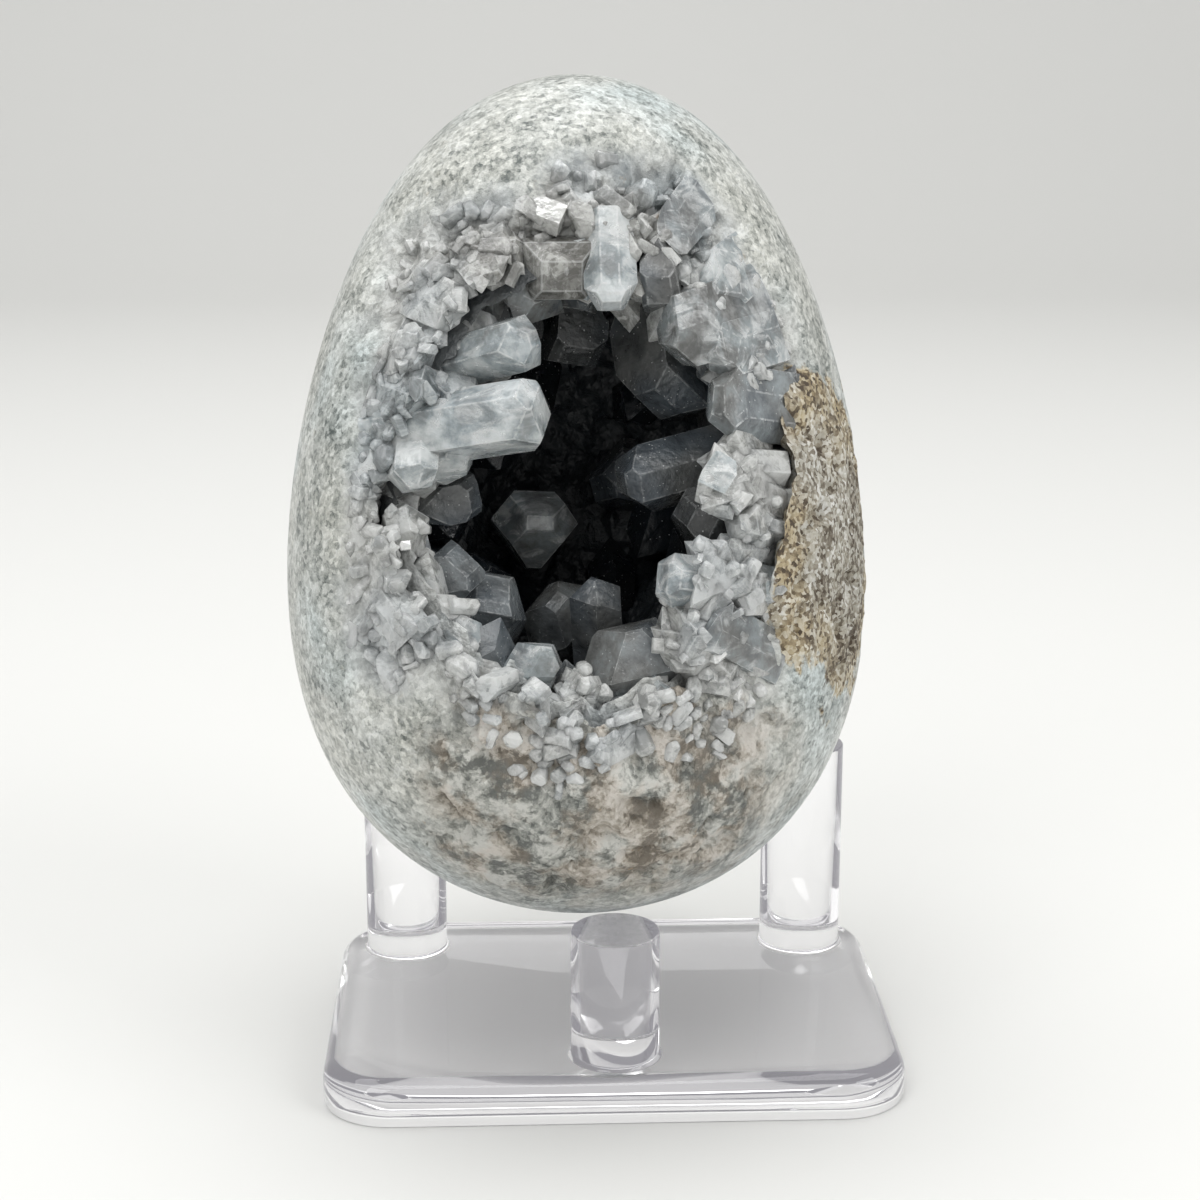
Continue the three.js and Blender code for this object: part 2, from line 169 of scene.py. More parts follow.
# Each tone is painted light and shade as well as the crystal's own paleness: darker deep in the hollow,
# paler where lit at the mouth
LARGE_CRYSTALS = {
    "left prism": BigCrystal((-29, -24, 70), (-4.5, -33.5, 73), 10.5, 9.5, 105, 0.86),
    "left block": BigCrystal((-26, -22, 74), (-23.5, -34.5, 75.5), 11, 9, 35, 0.9, True),
    "left lower knob": BigCrystal((-23, -26, 70), (-23.5, -34, 63), 7, 6, 10, 0.85),
    "left outer knob": BigCrystal((-29, -23, 69), (-28.5, -31, 64), 6, 5, 50, 0.9),
    "upper left blade": BigCrystal((-18, -23, 80), (-6.2, -31, 82.5), 9.5, 7, 70, 0.7),
    "hanging crystal": BigCrystal((3, -25, 98), (3, -32, 85.3), 7, 6.5, 0, 0.8),
    "ceiling slab": BigCrystal((17, -4, 92), (8.5, -19, 72), 21, 10, 80, 0.13),
    "inner ceiling slab": BigCrystal((-3, -2, 93), (-1, -16, 79), 14, 8, 85, 0.1),
    "ceiling face": BigCrystal((12, -14, 97), (9.5, -29, 87), 12, 6, 80, 0.22),
    "right hexagon": BigCrystal((22, -15, 87), (11.5, -30.5, 82), 12, 10.5, 25, 0.42),
    "right window": BigCrystal((26, -17, 82), (16.5, -29, 79.5), 8.5, 7.5, -20, 0.55),
    "right rim block": BigCrystal((21, -14, 92), (17.5, -26.5, 88), 11, 9, 15, 0.75),
    "right wedge": BigCrystal((31, -16, 71.5), (16.5, -30, 73.5), 10.5, 9, 40, 0.38),
    "right prism": BigCrystal((28, -13, 68), (3, -22, 62.3), 9.5, 8.5, 10, 0.13),
    "right floor face": BigCrystal((29, -12, 52), (11, -25, 59), 13, 9, 10, 0.1),
    "glassy prism": BigCrystal((26, -24, 47), (7.5, -33, 50.5), 6.5, 6, 30, 0.75),
    "right lower block": BigCrystal((23, -23, 38), (12, -33.5, 45), 9, 8, 15, 0.45),
    "floor crystal": BigCrystal((6, -18, 28), (5, -31, 43.5), 15, 10, 12, 0.33),
    "floor blade": BigCrystal((1, -12, 30), (0, -22, 50), 8.5, 6, -40, 0.18),
    "middle hexagon": BigCrystal((-9, 14, 54), (-7.5, -9, 57), 12, 11, 0, 0.46),
    "middle spear": BigCrystal((-3, 4, 36), (-5.5, -14, 46), 12, 8, 45, 0.3),
    "back block": BigCrystal((10, 16, 60), (5, 2, 65), 13, 10, 30, 0.14),
    "left dark plate": BigCrystal((-30, -14, 62.5), (-14.5, -25, 61.5), 11, 6, 75, 0.16),
    "left floor crystal": BigCrystal((-19, -8, 36), (-13, -23, 50), 11, 8, 5, 0.3),
    "left floor block": BigCrystal((-25, -14, 44), (-17, -26, 54), 9, 7, 65, 0.35),
    "left rim slab": BigCrystal((-27, -27, 49), (-24.5, -33, 61), 7.5, 5.5, 60, 0.5, True),
    "lower left tip": BigCrystal((-13, -22, 31), (-7, -34, 42), 8, 6, 20, 0.55),
    "lower left point": BigCrystal((-20, -22, 33), (-17.5, -33.5, 46), 7.5, 6, 70, 0.6),
    "left mass": BigCrystal((-25, -16, 73), (-16, -32.5, 74), 14, 12, 30, 0.78, True),
    "upper left mass": BigCrystal((-24, -14, 83), (-12, -30.5, 80.5), 13, 11, 60, 0.7, True),
    "lower left mass": BigCrystal((-26, -18, 67.5), (-17, -31, 67.5), 8.5, 7.5, 15, 0.8),
    "ceiling shelf": BigCrystal((-4, -14, 99.5), (-3.5, -32.5, 90), 21, 8, 0, 0.15, True),
    "ceiling shelf end": BigCrystal((-14, -18, 99), (-11, -32.5, 90.5), 10, 8, 20, 0.5, True),
    "upper left knob": BigCrystal((-17, -24, 97), (-13, -35, 91), 7.5, 6.5, 25, 0.85, True),
    "upper left block": BigCrystal((-24, -22, 90), (-18.5, -34, 86.5), 8.5, 7, 50, 0.9, True),
    "upper right spike": BigCrystal((17, -20, 101), (12.5, -31, 95), 8, 6, 15, 0.42),
    "left ledge": BigCrystal((-29, -24, 78), (-22, -33, 81), 8, 7, 80, 0.8, True),
    "lower left knob": BigCrystal((-25, -25, 44), (-19, -35, 47), 6.5, 5.5, 15, 0.7, True),
    "lower left block": BigCrystal((-22, -26, 37), (-14.5, -36, 40), 8, 6.5, 40, 0.85, True),
    "lower knob": BigCrystal((-6, -26, 30), (-1.5, -37, 37), 7.5, 6, 65, 0.75, True),
    "bottom block": BigCrystal((4, -27, 28), (8, -37, 35.5), 8, 7, 30, 0.8, True),
    "lower right knob": BigCrystal((20, -23, 34), (14.5, -34.5, 39.5), 7, 6.5, 5, 0.75, True),
    "right lower knob": BigCrystal((26, -22, 46), (18.5, -33, 48), 7, 6, 35, 0.7, True),
    "right ledge": BigCrystal((28, -21, 57), (19, -32.5, 56.5), 8, 6, 75, 0.85, True),
    "right sugar knob": BigCrystal((28, -20, 62), (18.5, -32, 62.5), 7, 6, 10, 0.8, True),
}


# Crystal colours by tone, with painted light and shade: near black for crystals deep in the hollow, pale
# for those lit at the mouth
HOLLOW_SHADE_TONES = (
    (0.0, (0.018, 0.022, 0.026)),
    (0.12, (0.09, 0.10, 0.11)),
    (0.3, (0.225, 0.24, 0.248)),
    (0.6, (0.42, 0.475, 0.495)),
    (1.0, (0.87, 0.92, 0.935)),
)
SUGAR_TONES = (
    (0.28, (0.26, 0.265, 0.255)),
    (0.45, (0.48, 0.485, 0.465)),
    (0.66, (0.75, 0.76, 0.74)),
)
COOL_TONES = (
    (0.26, (0.25, 0.275, 0.285)),
    (0.46, (0.42, 0.45, 0.465)),
    (0.68, (0.68, 0.715, 0.73)),
)
# Darker, warmer greys: painted shade under the mouth's ceiling, with a real warm tint
SMOKY_SHADE_TONES = (
    (0.28, (0.13, 0.125, 0.11)),
    (0.5, (0.27, 0.265, 0.245)),
    (0.68, (0.52, 0.52, 0.49)),
)
SLATE_TONES = (
    (0.28, (0.085, 0.105, 0.115)),
    (0.5, (0.20, 0.235, 0.25)),
    (0.68, (0.46, 0.51, 0.53)),
)


def random_stream(seed: int) -> Iterator[float]:
    """A repeatable stream of numbers from 0 to 1.

    Args:
        seed: Where the stream starts.

    Yields:
        The next number.
    """
    state = seed
    while True:
        state = (state * 16807) % 2147483647
        yield state / 2147483647


def random_lean(draw: Iterator[float]) -> np.ndarray:
    """A random direction's three numbers, each from -0.5 to 0.5."""
    return np.array([next(draw) - 0.5 for _ in range(3)])


def mix(low: float, high: float, share: float) -> float:
    """The number that lies a share of the way from low to high."""
    return low + (high - low) * share


def smooth_step(low: float, high: float, values: np.ndarray) -> np.ndarray:
    """0 below low, 1 above high and an even S-curve between."""
    share = np.clip((values - low) / (high - low), 0, 1)
    return share * share * (3 - 2 * share)


def scramble(cells: np.ndarray, seed: int) -> np.ndarray:
    """A random number from 0 to 1 for each grid cell.

    Args:
        cells: Whole-number cell places, one per row.
        seed: Which draw.

    Returns:
        One number for each cell.
    """
    key = cells @ np.array([73856093, 19349663, 83492791]) + seed * 2654435
    key = (key ^ (key >> 13)) * 1274126177 & 0x7FFFFFFF
    key = (key ^ (key >> 16)) * 668265263 & 0x7FFFFFFF
    return ((key >> 7) & 0xFFFF) / 0xFFFF


def value_noise(points: np.ndarray, size: float, seed: int) -> np.ndarray:
    """Soft random lumps.

    Args:
        points: Points, one per row.
        size: The lumps' size, in the points' unit.
        seed: Which noise.

    Returns:
        A value from -1 to 1 for each point.
    """
    place = points / size
    cell = np.floor(place).astype(np.int64)
    part = place - cell
    part = part * part * (3 - 2 * part)
    total = np.zeros(len(points))
    for corner in itertools.product((0, 1), repeat=3):
        weight = np.prod(np.where(corner, part, 1 - part), axis=1)
        total += weight * (2 * scramble(cell + corner, seed) - 1)
    return total


def facets(points: np.ndarray, size: float, seed: int) -> tuple[np.ndarray, np.ndarray]:
    """The relief of broken crystals: flat faces that tilt at random and meet in creases.

    Args:
        points: Points, one per row.
        size: The faces' size, in the points' unit.
        seed: Which relief.

    Returns:
        A height from about -1 to 1 for each point, and how near it is to a face's edge, from 0 to 1.
    """
    place = points / size
    base = np.floor(place).astype(np.int64)
    nearest = np.full(len(points), np.inf)
    second = np.full(len(points), np.inf)
    total = np.zeros(len(points))
    weights = np.zeros(len(points))
    for step in itertools.product((-1, 0, 1), repeat=3):
        cell = base + step
        middle = cell + np.stack([scramble(cell, seed + k) for k in range(3)], axis=1)
        away = place - middle
        distance = np.linalg.norm(away, axis=1)
        tilt = np.stack([2 * scramble(cell, seed + 3 + k) - 1 for k in range(3)], axis=1)
        step_up = FACET_STEP * (scramble(cell, seed + 6) - 0.5)
        found = step_up + FACET_TILT * np.sum(away * tilt, axis=1)
        weight = np.exp(-FACET_CRISPNESS * distance)
        total += weight * found
        weights += weight
        second = np.minimum(second, np.maximum(nearest, distance))
        nearest = np.minimum(nearest, distance)
    return total / weights, smooth_step(*CREASE, second - nearest)


def lumps(points: np.ndarray, size: float, seed: int, octaves: int = 3) -> np.ndarray:
    """Several sizes of value noise, each half the size and strength of the one before."""
    return sum(value_noise(points, size / 2**i, seed + i) / 2**i for i in range(octaves))


def depth_in(lobes: tuple[Lobe, ...], points: np.ndarray) -> np.ndarray:
    """How far points lie inside the nearest of several lobes, in mm."""
    return np.max([lobe.depth(points) for lobe in lobes], axis=0)


@dataclass(frozen=True)
class EggShape:
    """The ground egg before its hollow is opened.

    Attributes:
        length: From the blunt end to the pointed end, in mm.
        radius: The turned profile's radius, in mm.
        bluntness: How the profile swells along the egg.
        oval: How much longer one diagonal is than the other.
        bow: How far the middle line bends sideways, in mm.
        position: The blunt end's place in the frame, in mm.
        tilt: How far it leans back, in degrees.
        lean: How far it leans right, in degrees.
    """

    length: float = 120.0
    radius: float = 42.8
    bluntness: Triple = (0.139, 0.049, -0.0067)
    oval: float = 0.078
    bow: tuple[float, float] = (-0.83, -0.59)
    position: Triple = (-2.0, -9.3, 24.35)
    tilt: float = 9.7
    lean: float = -1.2

    def surface(self, directions: np.ndarray, inset: np.ndarray | float = 0.0) -> np.ndarray:
        """The surface's points in given directions from the egg's middle.

        Args:
            directions: Unit vectors, one per row.
            inset: How far the surface is moved inwards, in mm.

        Returns:
            Points in the egg's frame, in mm.
        """
        cosine = np.clip(-directions[:, 2], -1, 1)
        width, bow = self.profile(cosine)
        around = np.arctan2(directions[:, 1], directions[:, 0])
        reach = (self.radius - inset) * (width * (1 + self.oval * np.sin(2 * around)))
        along = self.length / 2 - (self.length / 2 - inset) * cosine
        return np.stack([reach * np.cos(around) + bow, reach * np.sin(around), along], axis=1)

    def profile(self, cosine: np.ndarray) -> tuple[np.ndarray, np.ndarray]:
        """The turned outline at places along the egg.

        Args:
            cosine: The places, from 1 at the blunt end to -1 at the pointed end.

        Returns:
            The outline's width as a share of the radius, and how far the middle line is
            bowed, in mm.
        """
        t = np.arccos(cosine)
        k1, k2, k3 = self.bluntness
        swell = 1 + k1 * np.cos(t) + k2 * np.cos(2 * t) + k3 * np.cos(3 * t)
        return np.sin(t) * swell, np.sin(t) ** 2 * (self.bow[0] + self.bow[1] * cosine)

    def cross_section(self, points: np.ndarray) -> tuple[np.ndarray, np.ndarray, np.ndarray]:
        """The level outline of the egg at each point's height.

        Args:
            points: Points in the egg's frame, in mm.

        Returns:
            Each point's distance from the middle line, the surface's distance in the same
            direction, and how far the middle line is bowed, all in mm.
        """
        width, bow = self.profile(np.clip(1 - points[:, 2] / (self.length / 2), -1, 1))
        across = points[:, 0] - bow
        around = np.arctan2(points[:, 1], across)
        reach = self.radius * width * (1 + self.oval * np.sin(2 * around))
        return np.hypot(across, points[:, 1]), reach, bow

    def hold_in(self, points: np.ndarray, inset: np.ndarray | float) -> np.ndarray:
        """Points outside the egg, moved straight in to its surface.

        Args:
            points: Points in the egg's frame, in mm.
            inset: How far below the surface each is held, in mm.

        Returns:
            The points, moved where they lay outside.
        """
        distance, reach, bow = self.cross_section(points)
        share = np.minimum(1, (reach - inset) / np.maximum(distance, 1e-6))
        held = points.copy()
        held[:, 0] = bow + (points[:, 0] - bow) * share
        held[:, 1] *= share
        return held

    def front(self, x: float, z: float) -> float:
        """Where the front surface lies at a place in its outline.

        Args:
            x: The place across, in mm.
            z: The place along the egg, in mm.

        Returns:
            The surface's Y, in mm.
        """
        just_outside = 1.0001
        point = np.array([[x, -2 * self.radius, z]])
        for _ in range(4):
            held = self.hold_in(point, 0.0)[0]
            point[0, 1] = -math.sqrt(max(held[0] ** 2 + held[1] ** 2 - x * x, 0.0)) * just_outside
        return float(point[0, 1])

    def matrix(self) -> Matrix:
        """The egg's frame in millimetres to the object's frame in metres."""
        turn = Matrix.Rotation(math.radians(self.lean), 4, "Y")
        turn @= Matrix.Rotation(math.radians(-self.tilt), 4, "X")
        return Matrix.Scale(MM, 4) @ Matrix.Translation(self.position) @ turn

    def to_frame(self, points: np.ndarray) -> np.ndarray:
        """Points in the egg's frame in mm as points in the object's frame in metres."""
        matrix = np.array(self.matrix())
        return points @ matrix[:3, :3].T + matrix[:3, 3]

    def to_egg(self, points: np.ndarray) -> np.ndarray:
        """Points in the object's frame in metres as points in the egg's frame in mm."""
        matrix = np.array(self.matrix().inverted())
        return points @ matrix[:3, :3].T + matrix[:3, 3]


EGG = EggShape()


def geodesic(
    parts: int, crowd: float = 0.0, towards: Vector = Vector((0, -1, 0))
) -> tuple[np.ndarray, np.ndarray]:
    """A ball of even triangles, which may be made finer on one side.

    Args:
        parts: How many times each side of an icosahedron is parted.
        crowd: How strongly the corners are drawn to one side, from 0 to below 1.
        towards: That side.

    Returns:
        Unit vectors, one per row, and triangles of their numbers.
    """
    maker = bmesh.new()
    bmesh.ops.create_icosphere(maker, subdivisions=1, radius=1.0)
    corners = np.array([v.co for v in maker.verts])
    faces = [[v.index for v in f.verts] for f in maker.faces]
    maker.free()
    rows = [(i, j) for i in range(parts + 1) for j in range(parts + 1 - i)]
    number = {place: n for n, place in enumerate(rows)}
    shares = np.array([(i, j, parts - i - j) for i, j in rows]) / parts
    small = []
    for i, j in rows:
        if i + j < parts:
            small.append((number[i, j], number[i + 1, j], number[i, j + 1]))
        if i + j < parts - 1:
            small.append((number[i + 1, j], number[i + 1, j + 1], number[i, j + 1]))
    small = np.array(small)
    points = np.concatenate([shares @ corners[face] for face in faces])
    triangles = np.concatenate([small + n * len(rows) for n in range(len(faces))])
    points /= np.linalg.norm(points, axis=1, keepdims=True)
    _, first, inverse = np.unique(
        np.round(points, 6), axis=0, return_index=True, return_inverse=True
    )
    points = points[first] + crowd * np.array(towards)
    points /= np.linalg.norm(points, axis=1, keepdims=True)
    return points, inverse.reshape(-1)[triangles]


def add_object(name: str, mesh: Mesh) -> Object:
    """Puts a mesh in the scene as an object at the origin."""
    made = bpy.data.objects.new(name, mesh)
    bpy.context.scene.collection.objects.link(made)
    return made


def mesh_from(name: str, points: np.ndarray, faces: list | np.ndarray) -> Object:
    """An object from points in the object's frame in metres and faces of their numbers."""
    mesh = bpy.data.meshes.new(name)
    mesh.from_pydata(np.asarray(points).tolist(), [], np.asarray(faces).tolist())
    mesh.update()
    return add_object(name, mesh)


def corners_of(made: Object) -> np.ndarray:
    """The places of an object's mesh vertices, one per row."""
    flat = np.empty(len(made.data.vertices) * 3)
    made.data.vertices.foreach_get("co", flat)
    return flat.reshape(-1, 3)


def move_corners(made: Object, points: np.ndarray) -> None:
    """Moves an object's mesh vertices to new places, one per row."""
    made.data.vertices.foreach_set("co", np.asarray(points, dtype=np.float32).ravel())
    made.data.update()


def set_smooth(made: Object, angle: float) -> None:
    """Shades an object smoothly except at edges sharper than an angle in degrees."""
    made.data.shade_smooth()
    made.data.set_sharp_from_angle(angle=math.radians(angle))


def closed_mesh(
    name: str, points: np.ndarray, rings: list, bevel: float, segments: int
) -> Mesh:
    """The mesh of a convex solid with rounded edges, which a face attribute marks for pale paint, partly
    chips and partly painted glints.

    Args:
        name: The mesh's name.
        points: Its corners, one per row.
        rings: Its faces as rings of corner numbers.
        bevel: How far the edges are rounded, in the points' unit.
        segments: How many steps the worn edges have.

    Returns:
        The new mesh.
    """
    maker = bmesh.new()
    worn = maker.faces.layers.float.new("worn")
    verts = [maker.verts.new(point) for point in points]
    for ring in rings:
        maker.faces.new([verts[i] for i in ring])
    edges = bmesh.ops.bevel(
        maker, geom=maker.edges[:], offset=bevel, segments=segments, profile=0.6,
        affect="EDGES", clamp_overlap=True,
    )
    # The rounded edges are marked for pale paint: partly chips and partly painted glints
    for face in edges["faces"]:
        face[worn] = 1.0
    bmesh.ops.triangulate(maker, faces=maker.faces[:])
    bmesh.ops.recalc_face_normals(maker, faces=maker.faces[:])
    mesh = bpy.data.meshes.new(name)
    maker.to_mesh(mesh)
    maker.free()
    return mesh


def merge(name: str, parts: list[Object]) -> Object:
    """Puts several objects' meshes in one object, with their attributes, and removes them.

    Args:
        name: The new object's name.
        parts: The objects.

    Returns:
        The new object.
    """
    maker = bmesh.new()
    for part in parts:
        maker.from_mesh(part.data)
        bpy.data.objects.remove(part)
    mesh = bpy.data.meshes.new(name)
    maker.to_mesh(mesh)
    maker.free()
    return add_object(name, mesh)


def coat(made: Object, finish: Material) -> None:
    """Gives the whole object one material."""
    made.data.materials.clear()
    made.data.materials.append(finish)


def set_values(made: Object, name: str, values: np.ndarray) -> None:
    """Stores one number for each vertex as a named attribute."""
    layer = made.data.attributes.get(name) or made.data.attributes.new(name, "FLOAT", "POINT")
    layer.data.foreach_set("value", np.asarray(values, dtype=np.float32))


def settle(made: Object) -> None:
    """Turns an object's modifiers into its plain mesh."""
    graph = bpy.context.evaluated_depsgraph_get()
    mesh = bpy.data.meshes.new_from_object(made.evaluated_get(graph))
    made.modifiers.clear()
    made.data = mesh


def combine(made: Object, other: Object, operation: str) -> None:
    """Joins, cuts or trims an object's solid by another one, which is then removed.

    Args:
        made: The object that is changed.
        other: The object that it is combined with.
        operation: UNION, DIFFERENCE or INTERSECT.
    """
    step = made.modifiers.new("combine", "BOOLEAN")
    step.object = other
    step.operation = operation
    step.solver = "MANIFOLD"
    settle(made)
    bpy.data.objects.remove(other)


def drop_shards(made: Object) -> None:
    """Removes the tiny loose shards that a cut left beside an object's main solid.

    Args:
        made: The object, whose largest shell stays.
    """
    maker = bmesh.new()
    maker.from_mesh(made.data)
    loose = set(maker.verts)
    shells = []
    while loose:
        shell, waiting = [], [loose.pop()]
        while waiting:
            shell.append(waiting.pop())
            near = {edge.other_vert(shell[-1]) for edge in shell[-1].link_edges} & loose
            loose -= near
            waiting.extend(near)
        shells.append(shell)
    for shell in sorted(shells, key=len)[:-1]:
        bmesh.ops.delete(maker, geom=shell, context="VERTS")
    maker.to_mesh(made.data)
    maker.free()


def lobe_solid(name: str, lobes: tuple[Lobe, ...], grow: float, parts: int = 44) -> Object:
    """The joined solid of several lobes with broken walls.

    Args:
        name: The object's name.
        lobes: The lobes.
        grow: How far each is grown, in mm.
        parts: How fine the walls are.

    Returns:
        The new object.
    """
    directions, faces = geodesic(parts)
    whole = None
    for lobe in lobes:
        points = lobe.middle + directions * np.array(lobe.half)
        coarse, _ = facets(points, 7.0, 91)
        fine, _ = facets(points, 3.0, 97)
        relief = 1.7 * coarse + 0.7 * fine + 0.6 * lumps(points, 9.0, 3)
        points += directions * (grow + relief)[:, None]
        one = mesh_from(name, EGG.to_frame(points), faces)
        if whole is None:
            whole = one
        else:
            combine(whole, one, "UNION")
    whole.name = name
    return whole


class NodeSheet:
    """Short calls for adding nodes to a material or a node group."""

    def __init__(self, tree: NodeTree) -> None:
        """Keeps the tree that nodes are added to."""
        self.tree = tree

    def node(self, kind: str, **settings: Feed | str | ID) -> Node:
        """Adds a node.

        Args:
            kind: The node's type.
            settings: Its properties by name, and its inputs by name with spaces as underscores.

        Returns:
            The node.
        """
        made = self.tree.nodes.new(kind)
        for name, value in settings.items():
            if hasattr(made, name):
                setattr(made, name, value)
            else:
                self.feed(made.inputs[name.replace("_", " ")], value)
        return made

    def fill(self, node: Node, **inputs: Feed) -> None:
        """Feeds a node's inputs by name, with spaces as underscores."""
        for name, value in inputs.items():
            self.feed(node.inputs[name.replace("_", " ")], value)

    def feed(self, socket: NodeSocket, value: Feed) -> None:
        """Links a socket to an output, or sets it to a plain value."""
        if isinstance(value, NodeSocket):
            self.tree.links.new(value, socket)
        elif isinstance(value, tuple) and len(value) == 3 and socket.type == "RGBA":
            socket.default_value = (*value, 1.0)
        else:
            socket.default_value = value

    def math(self, operation: str, first: Feed, second: Feed = 0.0) -> NodeSocket:
        """The result of a sum, product or other operation on two values."""
        made = self.node("ShaderNodeMath", operation=operation)
        self.feed(made.inputs[0], first)
        self.feed(made.inputs[1], second)
        return made.outputs[0]

    def times(self, first: Feed, second: Feed) -> NodeSocket:
        """The product of two values."""
        return self.math("MULTIPLY", first, second)

    def plus(self, first: Feed, second: Feed) -> NodeSocket:
        """The sum of two values."""
        return self.math("ADD", first, second)

    def larger(self, first: Feed, second: Feed) -> NodeSocket:
        """The larger of two values."""
        return self.math("MAXIMUM", first, second)

    def scale_of(self, size: Feed) -> NodeSocket:
        """The texture scale that gives lumps of a size in mm."""
        return self.math("DIVIDE", 1 / MM, size)

    def vector_math(self, operation: str, *values: Feed) -> NodeSocket:
        """The result of an operation on vectors."""
        made = self.node("ShaderNodeVectorMath", operation=operation)
        for socket, value in zip(made.inputs, values):
            self.feed(socket, value)
        return made.outputs["Vector"]

    def blend(self, share: Feed, first: Feed, second: Feed, how: str = "MIX") -> NodeSocket:
        """Two colours mixed by a share."""
        made = self.node("ShaderNodeMix", data_type="RGBA", blend_type=how)
        self.feed(made.inputs[0], share)
        self.feed(made.inputs[6], first)
        self.feed(made.inputs[7], second)
        return made.outputs[2]

    def between(
        self, value: Feed, low: float, high: float, start: float = 0.0, end: float = 1.0
    ) -> NodeSocket:
        """A value from low to high stretched smoothly to start and end."""
        made = self.node(
            "ShaderNodeMapRange", interpolation_type="SMOOTHSTEP", Value=value,
            From_Min=low, From_Max=high, To_Min=start, To_Max=end,
        )
        return made.outputs["Result"]

    def noise(
        self, place: Feed, size: float, detail: float = 3.0, rough: float = 0.55
    ) -> NodeSocket:
        """Soft noise from 0 to 1 with lumps of a size in mm."""
        made = self.node(
            "ShaderNodeTexNoise", Vector=place, Scale=1 / MM / size, Detail=detail, Roughness=rough
        )
        return made.outputs["Fac"]

    def shades(self, value: Feed, stops: Stops) -> NodeSocket:
        """A colour that runs through stops as a value goes from 0 to 1.

        Args:
            value: The value.
            stops: The colours and the values that they stand at.

        Returns:
            The colour.
        """
        made = self.node("ShaderNodeValToRGB", Fac=value)
        ramp = made.color_ramp
        while len(ramp.elements) < len(stops):
            ramp.elements.new(1.0)
        for element, (place, color) in zip(ramp.elements, stops):
            element.position = place
            element.color = (*color, 1.0)
        return made.outputs["Color"]

    def value_of(self, attribute: str) -> NodeSocket:
        """A vertex attribute's value."""
        return self.node("ShaderNodeAttribute", attribute_name=attribute).outputs["Fac"]

    def bump(self, height: Feed, strength: float, depth: float) -> NodeSocket:
        """A normal with low relief of a depth in mm."""
        made = self.node("ShaderNodeBump", Strength=strength, Distance=depth * MM, Height=height)
        return made.outputs["Normal"]

    def effect(self, group: NodeTree, **inputs: Feed) -> Node:
        """Adds a shared effect.

        Args:
            group: The effect's node group.
            inputs: Its inputs by name.

        Returns:
            The group's node.
        """
        made = self.node("ShaderNodeGroup", node_tree=group)
        self.fill(made, **inputs)
        return made


def effect_sheet(
    name: str, inputs: dict[str, float], outputs: tuple[str, ...]
) -> tuple[NodeSheet, Node, Node]:
    """Starts a node group for an effect that several materials share.

    Args:
        name: The group's name.
        inputs: Its number inputs and their usual values. It also has one for the place.
        outputs: Its number outputs.

    Returns:
        The sheet, the group's input node and its output node.
    """
    tree = bpy.data.node_groups.new(name, "ShaderNodeTree")
    tree.interface.new_socket("Place", in_out="INPUT", socket_type="NodeSocketVector")
    for label, usual in inputs.items():
        socket = tree.interface.new_socket(label, in_out="INPUT", socket_type="NodeSocketFloat")
        socket.default_value = usual
    for label in outputs:
        tree.interface.new_socket(label, in_out="OUTPUT", socket_type="NodeSocketFloat")
    sheet = NodeSheet(tree)
    return sheet, tree.nodes.new("NodeGroupInput"), tree.nodes.new("NodeGroupOutput")


